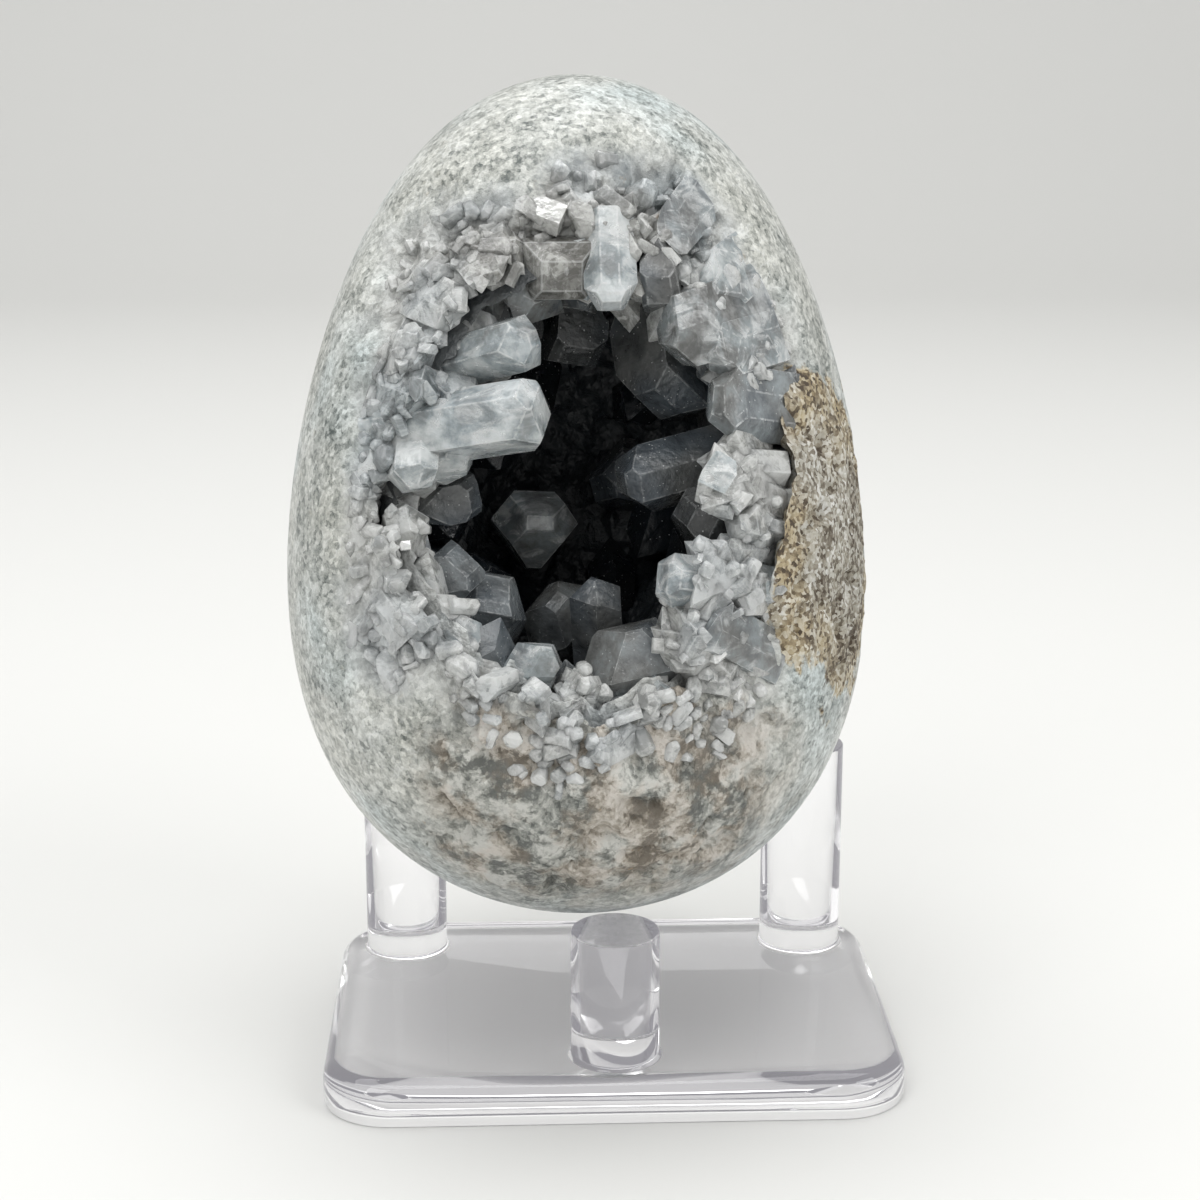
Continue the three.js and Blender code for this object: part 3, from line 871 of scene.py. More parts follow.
@dataclass
class MineralEffects:
    """The effects that the mineral finishes share, each made once.

    Attributes:
        grain: Interlocked crystal grains.
        veils: White wisps and cracks inside a crystal.
        dust: Pale specks.
        sugar: Broken translucent crystal.
    """

    grain: NodeTree = field(init=False)
    veils: NodeTree = field(init=False)
    dust: NodeTree = field(init=False)
    sugar: NodeTree = field(init=False)

    def __post_init__(self) -> None:
        """Makes the groups."""
        self.grain = self.make_grain()
        self.veils = self.make_veils()
        self.dust = self.make_dust()
        self.sugar = self.make_sugar()

    def make_grain(self) -> NodeTree:
        """Interlocked crystal grains: a tone for each, and their edges."""
        sheet, start, end = effect_sheet("grain", {"Size": 1.0, "Warp": 0.4}, ("Tone", "Edge"))
        scale = sheet.scale_of(start.outputs["Size"])
        wave = sheet.node("ShaderNodeTexNoise", Vector=start.outputs["Place"], Detail=2.0, Scale=scale)
        shift = sheet.vector_math("SUBTRACT", wave.outputs["Color"], (0.5, 0.5, 0.5))
        reach = sheet.math("DIVIDE", start.outputs["Warp"], scale)
        place = sheet.vector_math("MULTIPLY_ADD", shift, reach, start.outputs["Place"])
        cells = sheet.node("ShaderNodeTexVoronoi", Vector=place, Scale=scale)
        edges = sheet.node(
            "ShaderNodeTexVoronoi", feature="DISTANCE_TO_EDGE", Vector=place, Scale=scale
        )
        parts = sheet.node("ShaderNodeSeparateColor", Color=cells.outputs["Color"])
        edge = sheet.between(edges.outputs["Distance"], 0.0, 0.07, 1.0, 0.0)
        sheet.fill(end, Tone=parts.outputs["Red"], Edge=edge)
        return sheet.tree

    def make_veils(self) -> NodeTree:
        """White wisps and cracks inside a crystal."""
        sheet, start, end = effect_sheet("veils", {"Size": 4.0, "Share": 0.35}, ("Mask",))
        scale = sheet.scale_of(start.outputs["Size"])
        drawn_out = sheet.vector_math("MULTIPLY", start.outputs["Place"], (0.5, 1.0, 1.15))
        cloud = sheet.node(
            "ShaderNodeTexNoise", Vector=drawn_out, Scale=scale,
            Detail=7.0, Roughness=0.62, Distortion=2.2,
        ).outputs["Fac"]
        edges = sheet.node(
            "ShaderNodeTexVoronoi", feature="DISTANCE_TO_EDGE", Vector=drawn_out, Scale=scale
        )
        crack = sheet.between(edges.outputs["Distance"], 0.0, 0.03, 0.5, 0.0)
        low = sheet.math("SUBTRACT", 0.78, sheet.times(start.outputs["Share"], 0.5))
        wisp = sheet.between(sheet.math("SUBTRACT", cloud, low), 0.0, 0.2)
        broken = sheet.times(crack, sheet.between(cloud, 0.5, 0.6))
        sheet.fill(end, Mask=sheet.larger(wisp, broken))
        return sheet.tree

    def make_sugar(self) -> NodeTree:
        """Broken translucent crystal: cloudy greys crossed by fine pale cracks."""
        sheet, start, end = effect_sheet("sugar", {"Size": 3.0}, ("Tone", "Shine"))
        place, size = start.outputs["Place"], start.outputs["Size"]
        blocks = sheet.effect(self.grain, Place=place, Size=size, Warp=1.1)
        chips = sheet.effect(self.grain, Place=place, Size=sheet.times(size, 0.37), Warp=1.0)
        cloud = sheet.node(
            "ShaderNodeTexNoise", Vector=place, Scale=sheet.times(sheet.scale_of(size), 0.7),
            Detail=7.0, Roughness=0.75, Distortion=1.2,
        ).outputs["Fac"]
        tone = sheet.times(blocks.outputs["Tone"], 0.2)
        tone = sheet.plus(tone, sheet.times(chips.outputs["Tone"], 0.24))
        tone = sheet.plus(tone, sheet.between(cloud, 0.28, 0.72, 0.02, 0.54))
        cracks = sheet.times(chips.outputs["Edge"], sheet.between(cloud, 0.46, 0.66, 0.0, 0.6))
        wisps = sheet.between(cloud, 0.58, 0.72, 0.0, 0.7)
        sheet.fill(end, Tone=tone, Shine=sheet.larger(cracks, wisps))
        return sheet.tree

    def make_dust(self) -> NodeTree:
        """Scattered pale specks of dust and druse."""
        sheet, start, end = effect_sheet("dust", {"Size": 0.55, "Share": 0.3}, ("Mask",))
        scale = sheet.scale_of(start.outputs["Size"])
        cells = sheet.node("ShaderNodeTexVoronoi", Vector=start.outputs["Place"], Scale=scale)
        parts = sheet.node("ShaderNodeSeparateColor", Color=cells.outputs["Color"])
        chosen = sheet.math("LESS_THAN", parts.outputs["Red"], start.outputs["Share"])
        reach = sheet.times(parts.outputs["Green"], 0.26)
        speck = sheet.math("LESS_THAN", cells.outputs["Distance"], reach)
        sheet.fill(end, Mask=sheet.times(chosen, speck))
        return sheet.tree


def broken_color(
    sheet: NodeSheet, sugar: Node, place: NodeSocket, lift: Feed = 0.0
) -> NodeSocket:
    """The colour of broken crystal, the same on the ground and on what grows from it.

    Args:
        sheet: Where the nodes are added.
        sugar: The sugar effect's node.
        place: The place that the colour is for.
        lift: How much paler it is.

    Returns:
        The colour.
    """
    tone = sheet.plus(sugar.outputs["Tone"], lift)
    cool = sheet.between(sheet.noise(place, 13.0, 3.0), 0.42, 0.62, 0.0, 0.8)
    color = sheet.blend(cool, sheet.shades(tone, SUGAR_TONES), sheet.shades(tone, COOL_TONES))
    # The slate patch is the crystal's own colour; the darker, warmer patch under the mouth's ceiling is
    # painted shade with a real warm tint
    for patch, tones in (("slate", SLATE_TONES), ("smoky", SMOKY_SHADE_TONES)):
        share = sheet.times(sheet.value_of(patch), PATCH_STRENGTH)
        color = sheet.blend(share, color, sheet.shades(tone, tones))
    # Pale lines are partly real cracks and chips and partly painted glints along crease edges
    shine = sheet.larger(sheet.times(sheet.value_of("worn"), 0.35), sugar.outputs["Shine"])
    return sheet.blend(sheet.times(shine, 0.75), color, CHIP_AND_GLINT_WHITE)


def new_material(
    name: str,
) -> tuple[Material, NodeSheet, Node, NodeSocket]:
    """A material with one Principled shader.

    Args:
        name: The material's name.

    Returns:
        The material, its node sheet, its shader and its Object coordinates.
    """
    made = bpy.data.materials.new(name)
    made.use_nodes = True
    sheet = NodeSheet(made.node_tree)
    shader = made.node_tree.nodes["Principled BSDF"]
    place = sheet.node("ShaderNodeTexCoord").outputs["Object"]
    return made, sheet, shader, place


@dataclass(frozen=True)
class PolishedStone:
    """The egg's outside: ground grains, sugary breaks, an earthy patch and a rougher lower end.

    Attributes:
        effects: The shared effects.
        grains: The ground face's colours, from the darkest grains to the palest.
        tints: The faint drift of its hue.
        grey_soil: The earthy patch's colours where it is grey.
        rusty_soil: Its colours where it is ochre.
        grey_end: The lower end's colours where it is grey.
        tan_end: Its colours where it is tan.
        rust: The colour of its rusty spots.
    """

    effects: MineralEffects
    grains: Stops = (
        (0.14, (0.075, 0.092, 0.088)), (0.41, (0.365, 0.38, 0.365)), (0.85, (0.78, 0.795, 0.78)),
    )
    tints: Stops = ((0.35, (0.93, 1.0, 1.02)), (0.5, (1.0, 1.0, 0.98)), (0.65, (1.0, 0.985, 0.94)))
    grey_soil: Stops = (
        (0.0, (0.08, 0.058, 0.038)), (0.2, (0.17, 0.145, 0.11)), (0.45, (0.36, 0.33, 0.27)),
        (0.62, (0.47, 0.45, 0.39)), (0.95, (0.74, 0.73, 0.70)),
    )
    rusty_soil: Stops = (
        (0.0, (0.08, 0.058, 0.038)), (0.22, (0.24, 0.18, 0.10)), (0.5, (0.50, 0.41, 0.255)),
        (0.95, (0.72, 0.67, 0.55)),
    )
    grey_end: Stops = (
        (0.3, (0.10, 0.105, 0.095)), (0.44, (0.31, 0.315, 0.285)), (0.64, (0.66, 0.655, 0.615)),
    )
    tan_end: Stops = (
        (0.3, (0.16, 0.13, 0.095)), (0.44, (0.40, 0.35, 0.285)), (0.64, (0.68, 0.63, 0.57)),
    )
    rust: Triple = (0.36, 0.24, 0.12)

    def ground_face(
        self, sheet: NodeSheet, place: NodeSocket, speck: NodeSocket
    ) -> NodeSocket:
        """The colour of the ground and polished face.

        Args:
            sheet: Where the nodes are added.
            place: The place that the colour is for.
            speck: The finest noise.

        Returns:
            The colour.
        """
        fine = sheet.effect(self.effects.grain, Place=place, Size=0.75, Warp=0.9)
        coarse = sheet.effect(self.effects.grain, Place=place, Size=2.4, Warp=1.1)
        cloud = sheet.noise(place, 9.0, 5.0, 0.62)
        tone = sheet.times(fine.outputs["Tone"], 0.34)
        tone = sheet.plus(tone, sheet.times(coarse.outputs["Tone"], 0.16))
        tone = sheet.plus(tone, sheet.between(speck, 0.3, 0.7, 0.0, 0.36))
        tone = sheet.plus(tone, sheet.between(cloud, 0.3, 0.7, -0.02, 0.16))
        tint = sheet.shades(sheet.noise(place, 22.0, 2.0), self.tints)
        color = sheet.blend(1.0, sheet.shades(tone, self.grains), tint, "MULTIPLY")
        cracks = sheet.times(coarse.outputs["Edge"], sheet.between(cloud, 0.4, 0.6))
        return sheet.blend(sheet.times(cracks, 0.3), color, (0.86, 0.88, 0.88))

    def soil(
        self, sheet: NodeSheet, place: NodeSocket, granule: Node
    ) -> NodeSocket:
        """The colour of the earthy patch.

        Args:
            sheet: Where the nodes are added.
            place: The place that the colour is for.
            granule: The node of the finest grains.

        Returns:
            The colour.
        """
        tone = sheet.times(granule.outputs["Tone"], 0.8)
        tone = sheet.plus(tone, sheet.between(sheet.noise(place, 1.6, 4.0, 0.7), 0.3, 0.7, 0.0, 0.3))
        tone = sheet.plus(tone, sheet.between(sheet.noise(place, 6.0, 4.0), 0.35, 0.7, 0.04, -0.36))
        drift = sheet.between(sheet.noise(place, 5.0), 0.35, 0.6, 0.3, 0.9)
        ochre = sheet.times(sheet.value_of("ochre"), drift)
        return sheet.blend(ochre, sheet.shades(tone, self.grey_soil), sheet.shades(tone, self.rusty_soil))

    def lower_end(
        self, sheet: NodeSheet, place: NodeSocket, sugar: Node,
        granule: Node,
    ) -> NodeSocket:
        """The colour of the rougher lower end.

        Args:
            sheet: Where the nodes are added.
            place: The place that the colour is for.
            sugar: The sugar effect's node.
            granule: The node of the finest grains.

        Returns:
            The colour.
        """
        tone = sheet.times(sugar.outputs["Tone"], 0.62)
        tone = sheet.plus(tone, sheet.times(granule.outputs["Tone"], 0.2))
        cloud = sheet.between(sheet.noise(place, 5.5, 5.0, 0.6), 0.3, 0.7, -0.16, 0.24)
        tone = sheet.plus(tone, cloud)
        drift = sheet.between(sheet.noise(place, 7.0, 4.0, 0.6), 0.42, 0.58)
        return sheet.blend(drift, sheet.shades(tone, self.grey_end), sheet.shades(tone, self.tan_end))

    def make(self) -> Material:
        """Builds the material."""
        made, sheet, shader, place = new_material("celestite_stone")
        speck = sheet.noise(place, 0.9, 4.0, 0.8)
        sugar = sheet.effect(self.effects.sugar, Place=place, Size=3.4)
        granule = sheet.effect(self.effects.grain, Place=place, Size=0.55, Warp=0.9)
        broken = sheet.value_of("broken")
        lower = sheet.times(sheet.value_of("lower"), 0.9)
        ragged = sheet.between(sheet.noise(place, 3.0, 5.0, 0.7), 0.3, 0.7, -0.4, 0.4)
        earthy = sheet.between(sheet.plus(sheet.value_of("earthy"), ragged), 0.3, 0.7)
        color = self.ground_face(sheet, place, speck)
        color = sheet.blend(broken, color, broken_color(sheet, sugar, place))
        color = sheet.blend(earthy, color, self.soil(sheet, place, granule))
        color = sheet.blend(lower, color, self.lower_end(sheet, place, sugar, granule))
        spots = sheet.between(sheet.noise(place, 3.2, 5.0, 0.6), 0.66, 0.74)
        rust = sheet.times(spots, sheet.larger(lower, sheet.times(broken, 0.5)))
        dull = sheet.larger(earthy, sheet.times(broken, 0.15))
        rough = sheet.larger(sheet.larger(broken, lower), sheet.value_of("earthy"))
        height = sheet.times(speck, sheet.between(rough, 0.0, 1.0, 0.35, 1.0))
        sheet.fill(
            shader, Base_Color=sheet.blend(rust, color, self.rust),
            Roughness=sheet.between(dull, 0.0, 1.0, 0.3, 0.75), Normal=sheet.bump(height, 0.8, 0.8),
        )
        return made


class Growth(Enum):
    """Where a group of crystals grows, which sets how clear, pale and dusty it looks."""

    ROCK = "rock"
    HERO = "hero"
    DEEP = "deep"


@dataclass(frozen=True)
class Celestite:
    """Clear to milky grey-blue crystal.

    Attributes:
        effects: The shared effects.
        growth: Where the crystals grow.
        veil_share: How much of it is milky.
        transmission: How much light passes.
        roughness: How dull its faces are.
        dust: How many dust specks lie on it.
        tones: The colours from the most shaded crystals to the best lit, as stops: painted shade at the
            dark end and painted light at the pale end.
        veil_size: How big the milky wisps are, in mm.
        cool: The cooler hue that its colour drifts to.
        warm: The warmer hue.
        edge: The colour painted on its rounded edges, partly chips and partly painted glints.
        speck: The colour of the dust.
    """

    effects: MineralEffects
    growth: Growth
    veil_share: float
    transmission: float
    roughness: float
    dust: float
    tones: Stops = HOLLOW_SHADE_TONES
    veil_size: float = 5.0
    cool: Triple = (0.94, 1.0, 1.05)
    warm: Triple = (1.06, 0.99, 0.9)
    edge: Triple = (0.93, 0.95, 0.95)
    speck: Triple = (0.8, 0.82, 0.81)

    def make(self) -> Material:
        """Builds the material."""
        made, sheet, shader, place = new_material(f"celestite_{self.growth.value}")
        veils = sheet.effect(self.effects.veils, Place=place, Size=self.veil_size, Share=self.veil_share)
        specks = sheet.effect(self.effects.dust, Place=place, Size=0.45, Share=self.dust)
        cloud = sheet.between(sheet.noise(place, 4.5, 5.0, 0.6), 0.32, 0.68, 0.5, 1.3)
        # The tone carries painted light and shade: crystals deep in the hollow come out darker, those lit
        # at the mouth paler, and the milky veils show more on the paler ones
        tone = sheet.times(sheet.value_of("tone"), cloud)
        color = sheet.shades(tone, self.tones)
        drift = sheet.between(sheet.noise(place, 16.0, 2.0), 0.4, 0.6)
        tinted = sheet.blend(1.0, color, sheet.blend(drift, self.cool, self.warm), "MULTIPLY")
        color = sheet.blend(sheet.between(tone, 0.1, 0.5, 1.0, 0.2), color, tinted)
        milky = sheet.times(veils.outputs["Mask"], sheet.between(tone, 0.0, 0.6, 0.02, 0.8))
        color = sheet.blend(milky, color, CHIP_AND_GLINT_WHITE)
        # Pale edges are partly chips and partly painted glints, stronger on the lit crystals
        chip_and_glint_share = sheet.between(sheet.noise(place, 1.2, 3.0, 0.7), 0.4, 0.6)
        worn = sheet.times(sheet.value_of("worn"), sheet.between(tone, 0.0, 0.8, 0.12, 0.85))
        color = sheet.blend(sheet.times(worn, chip_and_glint_share), color, self.edge)
        color = sheet.blend(sheet.times(specks.outputs["Mask"], 0.6), color, self.speck)
        dull = sheet.plus(sheet.times(milky, 0.25), self.roughness)
        dull = sheet.plus(dull, sheet.between(sheet.noise(place, 2.5), 0.35, 0.7, 0.0, 0.16))
        swell = sheet.times(sheet.noise(place, 6.0, 3.0), 3.0)
        height = sheet.plus(sheet.noise(place, 1.4, 4.0, 0.65), swell)
        sheet.fill(
            shader, Base_Color=color, Roughness=dull, Transmission_Weight=self.transmission,
            IOR=CELESTITE_IOR, Normal=sheet.bump(height, 0.6, 0.5),
        )
        return made


@dataclass(frozen=True)
class SugarCrystal:
    """The knobs of broken crystal on the ground round the mouth.

    Attributes:
        effects: The shared effects.
        roughness: How dull its faces are.
        transmission: How much light passes.
        milkiness: How much light spreads inside it.
        milk_depth: How far that light spreads, in mm.
    """

    effects: MineralEffects
    roughness: float = 0.1
    transmission: float = 0.25
    milkiness: float = 0.6
    milk_depth: float = 3.0

    def make(self) -> Material:
        """Builds the material."""
        made, sheet, shader, place = new_material("celestite_rim")
        sugar = sheet.effect(self.effects.sugar, Place=place, Size=3.4)
        # On the blocks round the mouth the tone is painted light and shade, on the strewn crystals a
        # random tone
        lift = sheet.between(sheet.value_of("tone"), 0.0, 1.0, -0.08, 0.1)
        sheet.fill(
            shader, Base_Color=broken_color(sheet, sugar, place, lift), Roughness=self.roughness,
            Transmission_Weight=self.transmission, Subsurface_Weight=self.milkiness,
            Subsurface_Scale=self.milk_depth * MM, Subsurface_Radius=(1.0, 1.0, 1.0),
            IOR=CELESTITE_IOR, Normal=sheet.bump(sheet.noise(place, 1.2, 3.0, 0.6), 0.6, 0.5),
        )
        return made


@dataclass(frozen=True)
class CrustGround:
    """The ground that the crystals grow from: pale at the mouth, and painted near black deeper in, as
    painted shade.

    Attributes:
        effects: The shared effects.
        deep: Its near-black colours deep in the hollow, which are painted shade.
        roughness: How dull it is.
    """

    effects: MineralEffects
    deep: Stops = ((0.0, (0.008, 0.01, 0.012)), (1.0, (0.035, 0.042, 0.046)))
    roughness: float = 0.35

    def make(self) -> Material:
        """Builds the material."""
        made, sheet, shader, place = new_material("celestite_ground")
        sugar = sheet.effect(self.effects.sugar, Place=place, Size=3.2)
        pale = broken_color(sheet, sugar, place)
        # Painted shade: by the depth attribute the ground turns near black deep in the hollow
        dark = sheet.shades(sugar.outputs["Tone"], self.deep)
        sheet.fill(
            shader, Base_Color=sheet.blend(sheet.value_of("depth"), pale, dark),
            Roughness=self.roughness, Normal=sheet.bump(sheet.noise(place, 1.2, 3.0, 0.6), 0.8, 0.8),
        )
        return made


@dataclass(frozen=True)
class ClearAcrylic:
    """Polished clear acrylic with a faint lavender tint, lightened by painted light from emission.

    Attributes:
        tint: The colour of the light that passes.
        roughness: How dull its faces are.
        painted_glow: The colour of painted light that the whole stand gives off by emission, though it is
            no lamp.
        painted_glow_strength: How bright that painted light is.
    """

    tint: Triple = (0.995, 0.992, 0.998)
    roughness: float = 0.01
    painted_glow: Triple = (0.94, 0.92, 1.0)
    painted_glow_strength: float = 0.035

    def make(self) -> Material:
        """Builds the material."""
        made, sheet, shader, _ = new_material("clear_acrylic")
        # Emission paints light over the whole stand, though it is no lamp
        sheet.fill(
            shader, Base_Color=self.tint, Roughness=self.roughness, Transmission_Weight=1.0,
            IOR=ACRYLIC_IOR, Emission_Color=self.painted_glow, Emission_Strength=self.painted_glow_strength,
        )
        return made


@dataclass(frozen=True)
class PaperFloor:
    """The photographer's pale paper.

    Attributes:
        color: Its colour.
        roughness: How dull it is.
    """

    color: Triple = (0.745, 0.745, 0.73)
    roughness: float = 0.7

    def make(self) -> Material:
        """Builds the material."""
        made, sheet, shader, _ = new_material("paper")
        sheet.fill(shader, Base_Color=self.color, Roughness=self.roughness)
        return made


@dataclass(frozen=True)
class Scatter:
    """Grows copies of prototype crystals on part of a surface by a node tree.

    Attributes:
        name: The new piece's name.
        mask: The attribute that says where they grow.
        spacing: How far apart they stand, in mm.
        size: The smallest and largest size of a copy, as a factor.
        lean: How far they lean, in degrees.
        sink: How far they are sunk into the surface, as a share of their size.
        seed: Which draw.
        densest: The most places that are tried on a square metre.
    """

    name: str
    mask: str
    spacing: float
    size: tuple[float, float]
    lean: float
    sink: float
    seed: int
    densest: float = 2.0e6

    def tree(self) -> NodeTree:
        """Builds the node tree with its named inputs."""
        tree = bpy.data.node_groups.new(self.name, "GeometryNodeTree")
        sockets = (
            ("Ground", "Geometry"), ("Prototypes", "Collection"), ("Mask", "Float"), ("Spacing", "Float"),
            ("Smallest", "Float"), ("Largest", "Float"), ("Lean", "Float"), ("Sink", "Float"),
            ("Seed", "Int"), ("Finish", "Material"),
        )
        for label, kind in sockets:
            tree.interface.new_socket(label, in_out="INPUT", socket_type="NodeSocket" + kind)
        tree.interface.new_socket("Crystals", in_out="OUTPUT", socket_type="NodeSocketGeometry")
        sheet = NodeSheet(tree)
        start = sheet.node("NodeGroupInput").outputs
        grow = sheet.node(
            "GeometryNodeDistributePointsOnFaces", distribute_method="POISSON", Mesh=start["Ground"],
            Distance_Min=start["Spacing"], Density_Max=self.densest, Density_Factor=start["Mask"],
            Seed=start["Seed"],
        )
        shelf = sheet.node("GeometryNodeCollectionInfo", Collection=start["Prototypes"])
        shelf.inputs["Separate Children"].default_value = True
        shelf.inputs["Reset Children"].default_value = True
        turn = sheet.node("FunctionNodeRandomValue", data_type="FLOAT_VECTOR", Seed=start["Seed"])
        bend = sheet.node("ShaderNodeCombineXYZ", X=start["Lean"], Y=start["Lean"], Z=math.pi)
        turn.inputs[1].default_value = (1.0, 1.0, 1.0)
        turn.inputs[0].default_value = (-1.0, -1.0, -1.0)
        tilt = sheet.vector_math("MULTIPLY", turn.outputs[0], bend.outputs[0])
        spin = sheet.node("FunctionNodeEulerToRotation", Euler=tilt)
        face = sheet.node("FunctionNodeRotateRotation", rotation_space="LOCAL")
        sheet.feed(face.inputs[0], grow.outputs["Rotation"])
        sheet.feed(face.inputs[1], spin.outputs[0])
        second_seed = sheet.plus(start["Seed"], 7.0)
        draw = sheet.node("FunctionNodeRandomValue", data_type="FLOAT", Seed=second_seed)
        sheet.feed(draw.inputs[2], start["Smallest"])
        sheet.feed(draw.inputs[3], start["Largest"])
        place = sheet.node(
            "GeometryNodeInstanceOnPoints", Points=grow.outputs["Points"], Instance=shelf.outputs[0],
            Rotation=face.outputs[0], Scale=draw.outputs[1],
        )
        place.inputs["Pick Instance"].default_value = True
        drop = sheet.node("ShaderNodeCombineXYZ", Z=sheet.times(start["Sink"], -MM))
        sunk = sheet.node("GeometryNodeTranslateInstances", Instances=place.outputs[0])
        sheet.feed(sunk.inputs["Translation"], drop.outputs[0])
        third_seed = sheet.plus(start["Seed"], 19.0)
        shade = sheet.node("FunctionNodeRandomValue", data_type="FLOAT", Seed=third_seed)
        mark = sheet.node(
            "GeometryNodeStoreNamedAttribute", data_type="FLOAT", domain="INSTANCE",
            Geometry=sunk.outputs[0], Name="tone", Value=shade.outputs[1],
        )
        real = sheet.node("GeometryNodeRealizeInstances", Geometry=mark.outputs[0])
        coat = sheet.node("GeometryNodeSetMaterial", Geometry=real.outputs[0], Material=start["Finish"])
        end = tree.nodes.new("NodeGroupOutput")
        tree.links.new(coat.outputs[0], end.inputs["Crystals"])
        return tree

    def grow(
        self, ground: Object, prototypes: Collection, finish: Material
    ) -> Object:
        """Grows the crystals.

        Args:
            ground: The surface, with the mask on its vertices.
            prototypes: The crystals that are copied.
            finish: Their material.

        Returns:
            A new object of all the copies.
        """
        made = add_object(self.name, ground.data.copy())
        tree = self.tree()
        step = made.modifiers.new("grow", "NODES")
        step.node_group = tree
        items = [item for item in tree.interface.items_tree if item.in_out == "INPUT"]
        sockets = {item.name: item.identifier for item in items}
        values = {
            "Prototypes": prototypes, "Spacing": self.spacing * MM, "Smallest": self.size[0],
            "Largest": self.size[1], "Lean": math.radians(self.lean), "Sink": self.sink,
            "Seed": self.seed, "Finish": finish,
        }
        for label, value in values.items():
            step[sockets[label]] = value
        step[sockets["Mask"] + "_use_attribute"] = True
        step[sockets["Mask"] + "_attribute_name"] = self.mask
        settle(made)
        return made


@dataclass
class CrystalHabit:
    """The shape that the crystals share: a flattened prism closed by a wedge.

    Attributes:
        prism_angle: How steep the prism's sides are, in degrees.
        shoulder: How far out the sides lie, as a share of half the width.
        wedge_angle: How steep the wedge's two faces are, in degrees.
        end_angle: How steep the small faces at the wedge's ends are, in degrees.
        side_unevenness: How unevenly the sides are set, as a share.
        wedge_unevenness: How uneven the wedge's angle is, as a share.
        end_unevenness: How uneven the end faces' angle is, as a share.
        end_setback: How far out the end faces may lie, as a share of the width.
        blunt_share: How much of the thickness the tip may lose.
        bevel: How far the edges are rounded, in mm.
    """

    prism_angle: float = 38.0
    shoulder: float = 0.82
    wedge_angle: float = 50.0
    end_angle: float = 42.0
    side_unevenness: float = 0.12
    wedge_unevenness: float = 0.15
    end_unevenness: float = 0.2
    end_setback: float = 0.1
    blunt_share: float = 0.24
    bevel: float = 0.16

    def planes(
        self, length: float, width: float, thickness: float, seed: int, trimmed: bool
    ) -> tuple[np.ndarray, np.ndarray]:
        """The planes that close a crystal that stands on the origin along +Z.

        Args:
            length: From its root to its tip, in mm.
            width: Its size across, in mm.
            thickness: Its size through, in mm.
            seed: Which crystal, for its uneven faces.
            trimmed: Whether the wedge's ends and tip are cut off.

        Returns:
            Unit normals, one per row, and the distance of each plane.
        """
        draw = random_stream(seed)

        def uneven(amount: float) -> float:
            """A factor near 1."""
            return 1 + amount * (next(draw) * 2 - 1)

        prism = math.radians(self.prism_angle)
        rows = [(0, 0, -1, 0)]
        for side in (1, -1):
            rows.append((0, side, 0, thickness / 2 * uneven(self.side_unevenness)))
            for out in (1, -1):
                reach = width / 2 * self.shoulder * uneven(self.side_unevenness)
                rows.append((math.cos(prism) * side, math.sin(prism) * out, 0, reach))
            wedge = math.radians(self.wedge_angle) * uneven(self.wedge_unevenness)
            rows.append((0, side * math.cos(wedge), math.sin(wedge), length * math.sin(wedge)))
            if trimmed:
                end = math.radians(self.end_angle) * uneven(self.end_unevenness)
                reach = length * math.sin(end) + width * self.end_setback * next(draw)
                rows.append((side * math.cos(end), 0, math.sin(end), reach))
        if trimmed:
            rows.append((0, 0, 1, length - thickness * self.blunt_share * next(draw)))
        table = np.array(rows, dtype=float)
        return table[:, :3], table[:, 3]

    def polyhedron(self, normals: np.ndarray, distances: np.ndarray) -> tuple[np.ndarray, list]:
        """The convex solid that planes close.

        Args:
            normals: Unit normals, one per row.
            distances: The distance of each plane.

        Returns:
            Its corners, one per row, and its faces as rings of their numbers.
        """
        triples = np.array(list(itertools.combinations(range(len(normals)), 3)))
        systems = normals[triples]
        good = np.abs(np.linalg.det(systems)) > 1e-4
        found = np.linalg.solve(systems[good], distances[triples[good]][..., None])[..., 0]
        found = found[((found @ normals.T) < distances + 1e-6).all(axis=1)]
        corners = []
        for point in found:
            if all(np.linalg.norm(point - other) > 1e-4 for other in corners):
                corners.append(point)
        corners = np.array(corners)
        faces = []
        for normal, distance in zip(normals, distances):
            ring = np.flatnonzero(np.abs(corners @ normal - distance) < 1e-5)
            if len(ring) < 3:
                continue
            spokes = corners[ring] - corners[ring].mean(axis=0)
            first = spokes[0] / np.linalg.norm(spokes[0])
            second = np.cross(normal, first)
            angles = np.arctan2(spokes @ second, spokes @ first)
            faces.append(ring[np.argsort(angles)].tolist())
        return corners, faces

    def solid(self, name: str, one: BigCrystal, seed: int, trimmed: bool = True) -> Object:
        """One crystal of the hollow, bevelled, in the object's frame.

        Args:
            name: The object's name.
            one: Where it grows and its size.
            seed: Which crystal.
            trimmed: Whether the wedge's ends and tip are cut off.

        Returns:
            The new object.
        """
        root, tip = Vector(one.root), Vector(one.tip)
        axis = tip - root
        planes = self.planes(axis.length, one.width, one.thickness, seed, trimmed)
        corners, faces = self.polyhedron(*planes)
        turn = Vector((0, 0, 1)).rotation_difference(axis).to_matrix().to_4x4()
        turn @= Matrix.Rotation(math.radians(one.turn), 4, "Z")
        place = np.array(Matrix.Translation(root) @ turn)
        points = corners @ place[:3, :3].T + place[:3, 3]
        mesh = closed_mesh(name, points, faces, self.bevel, 2)
        mesh.transform(EGG.matrix())
        made = add_object(name, mesh)
        set_values(made, "tone", np.full(len(mesh.vertices), one.tone))
        return made


def patch_share(patch: tuple[Lobe, ...], points: np.ndarray) -> np.ndarray:
    """How far a patch's colour shows, from 0 to 1 at each point, with a ragged edge."""
    return smooth_step(-2.0, 2.0, depth_in(patch, points) + 2.5 * lumps(points, 5.0, 35))


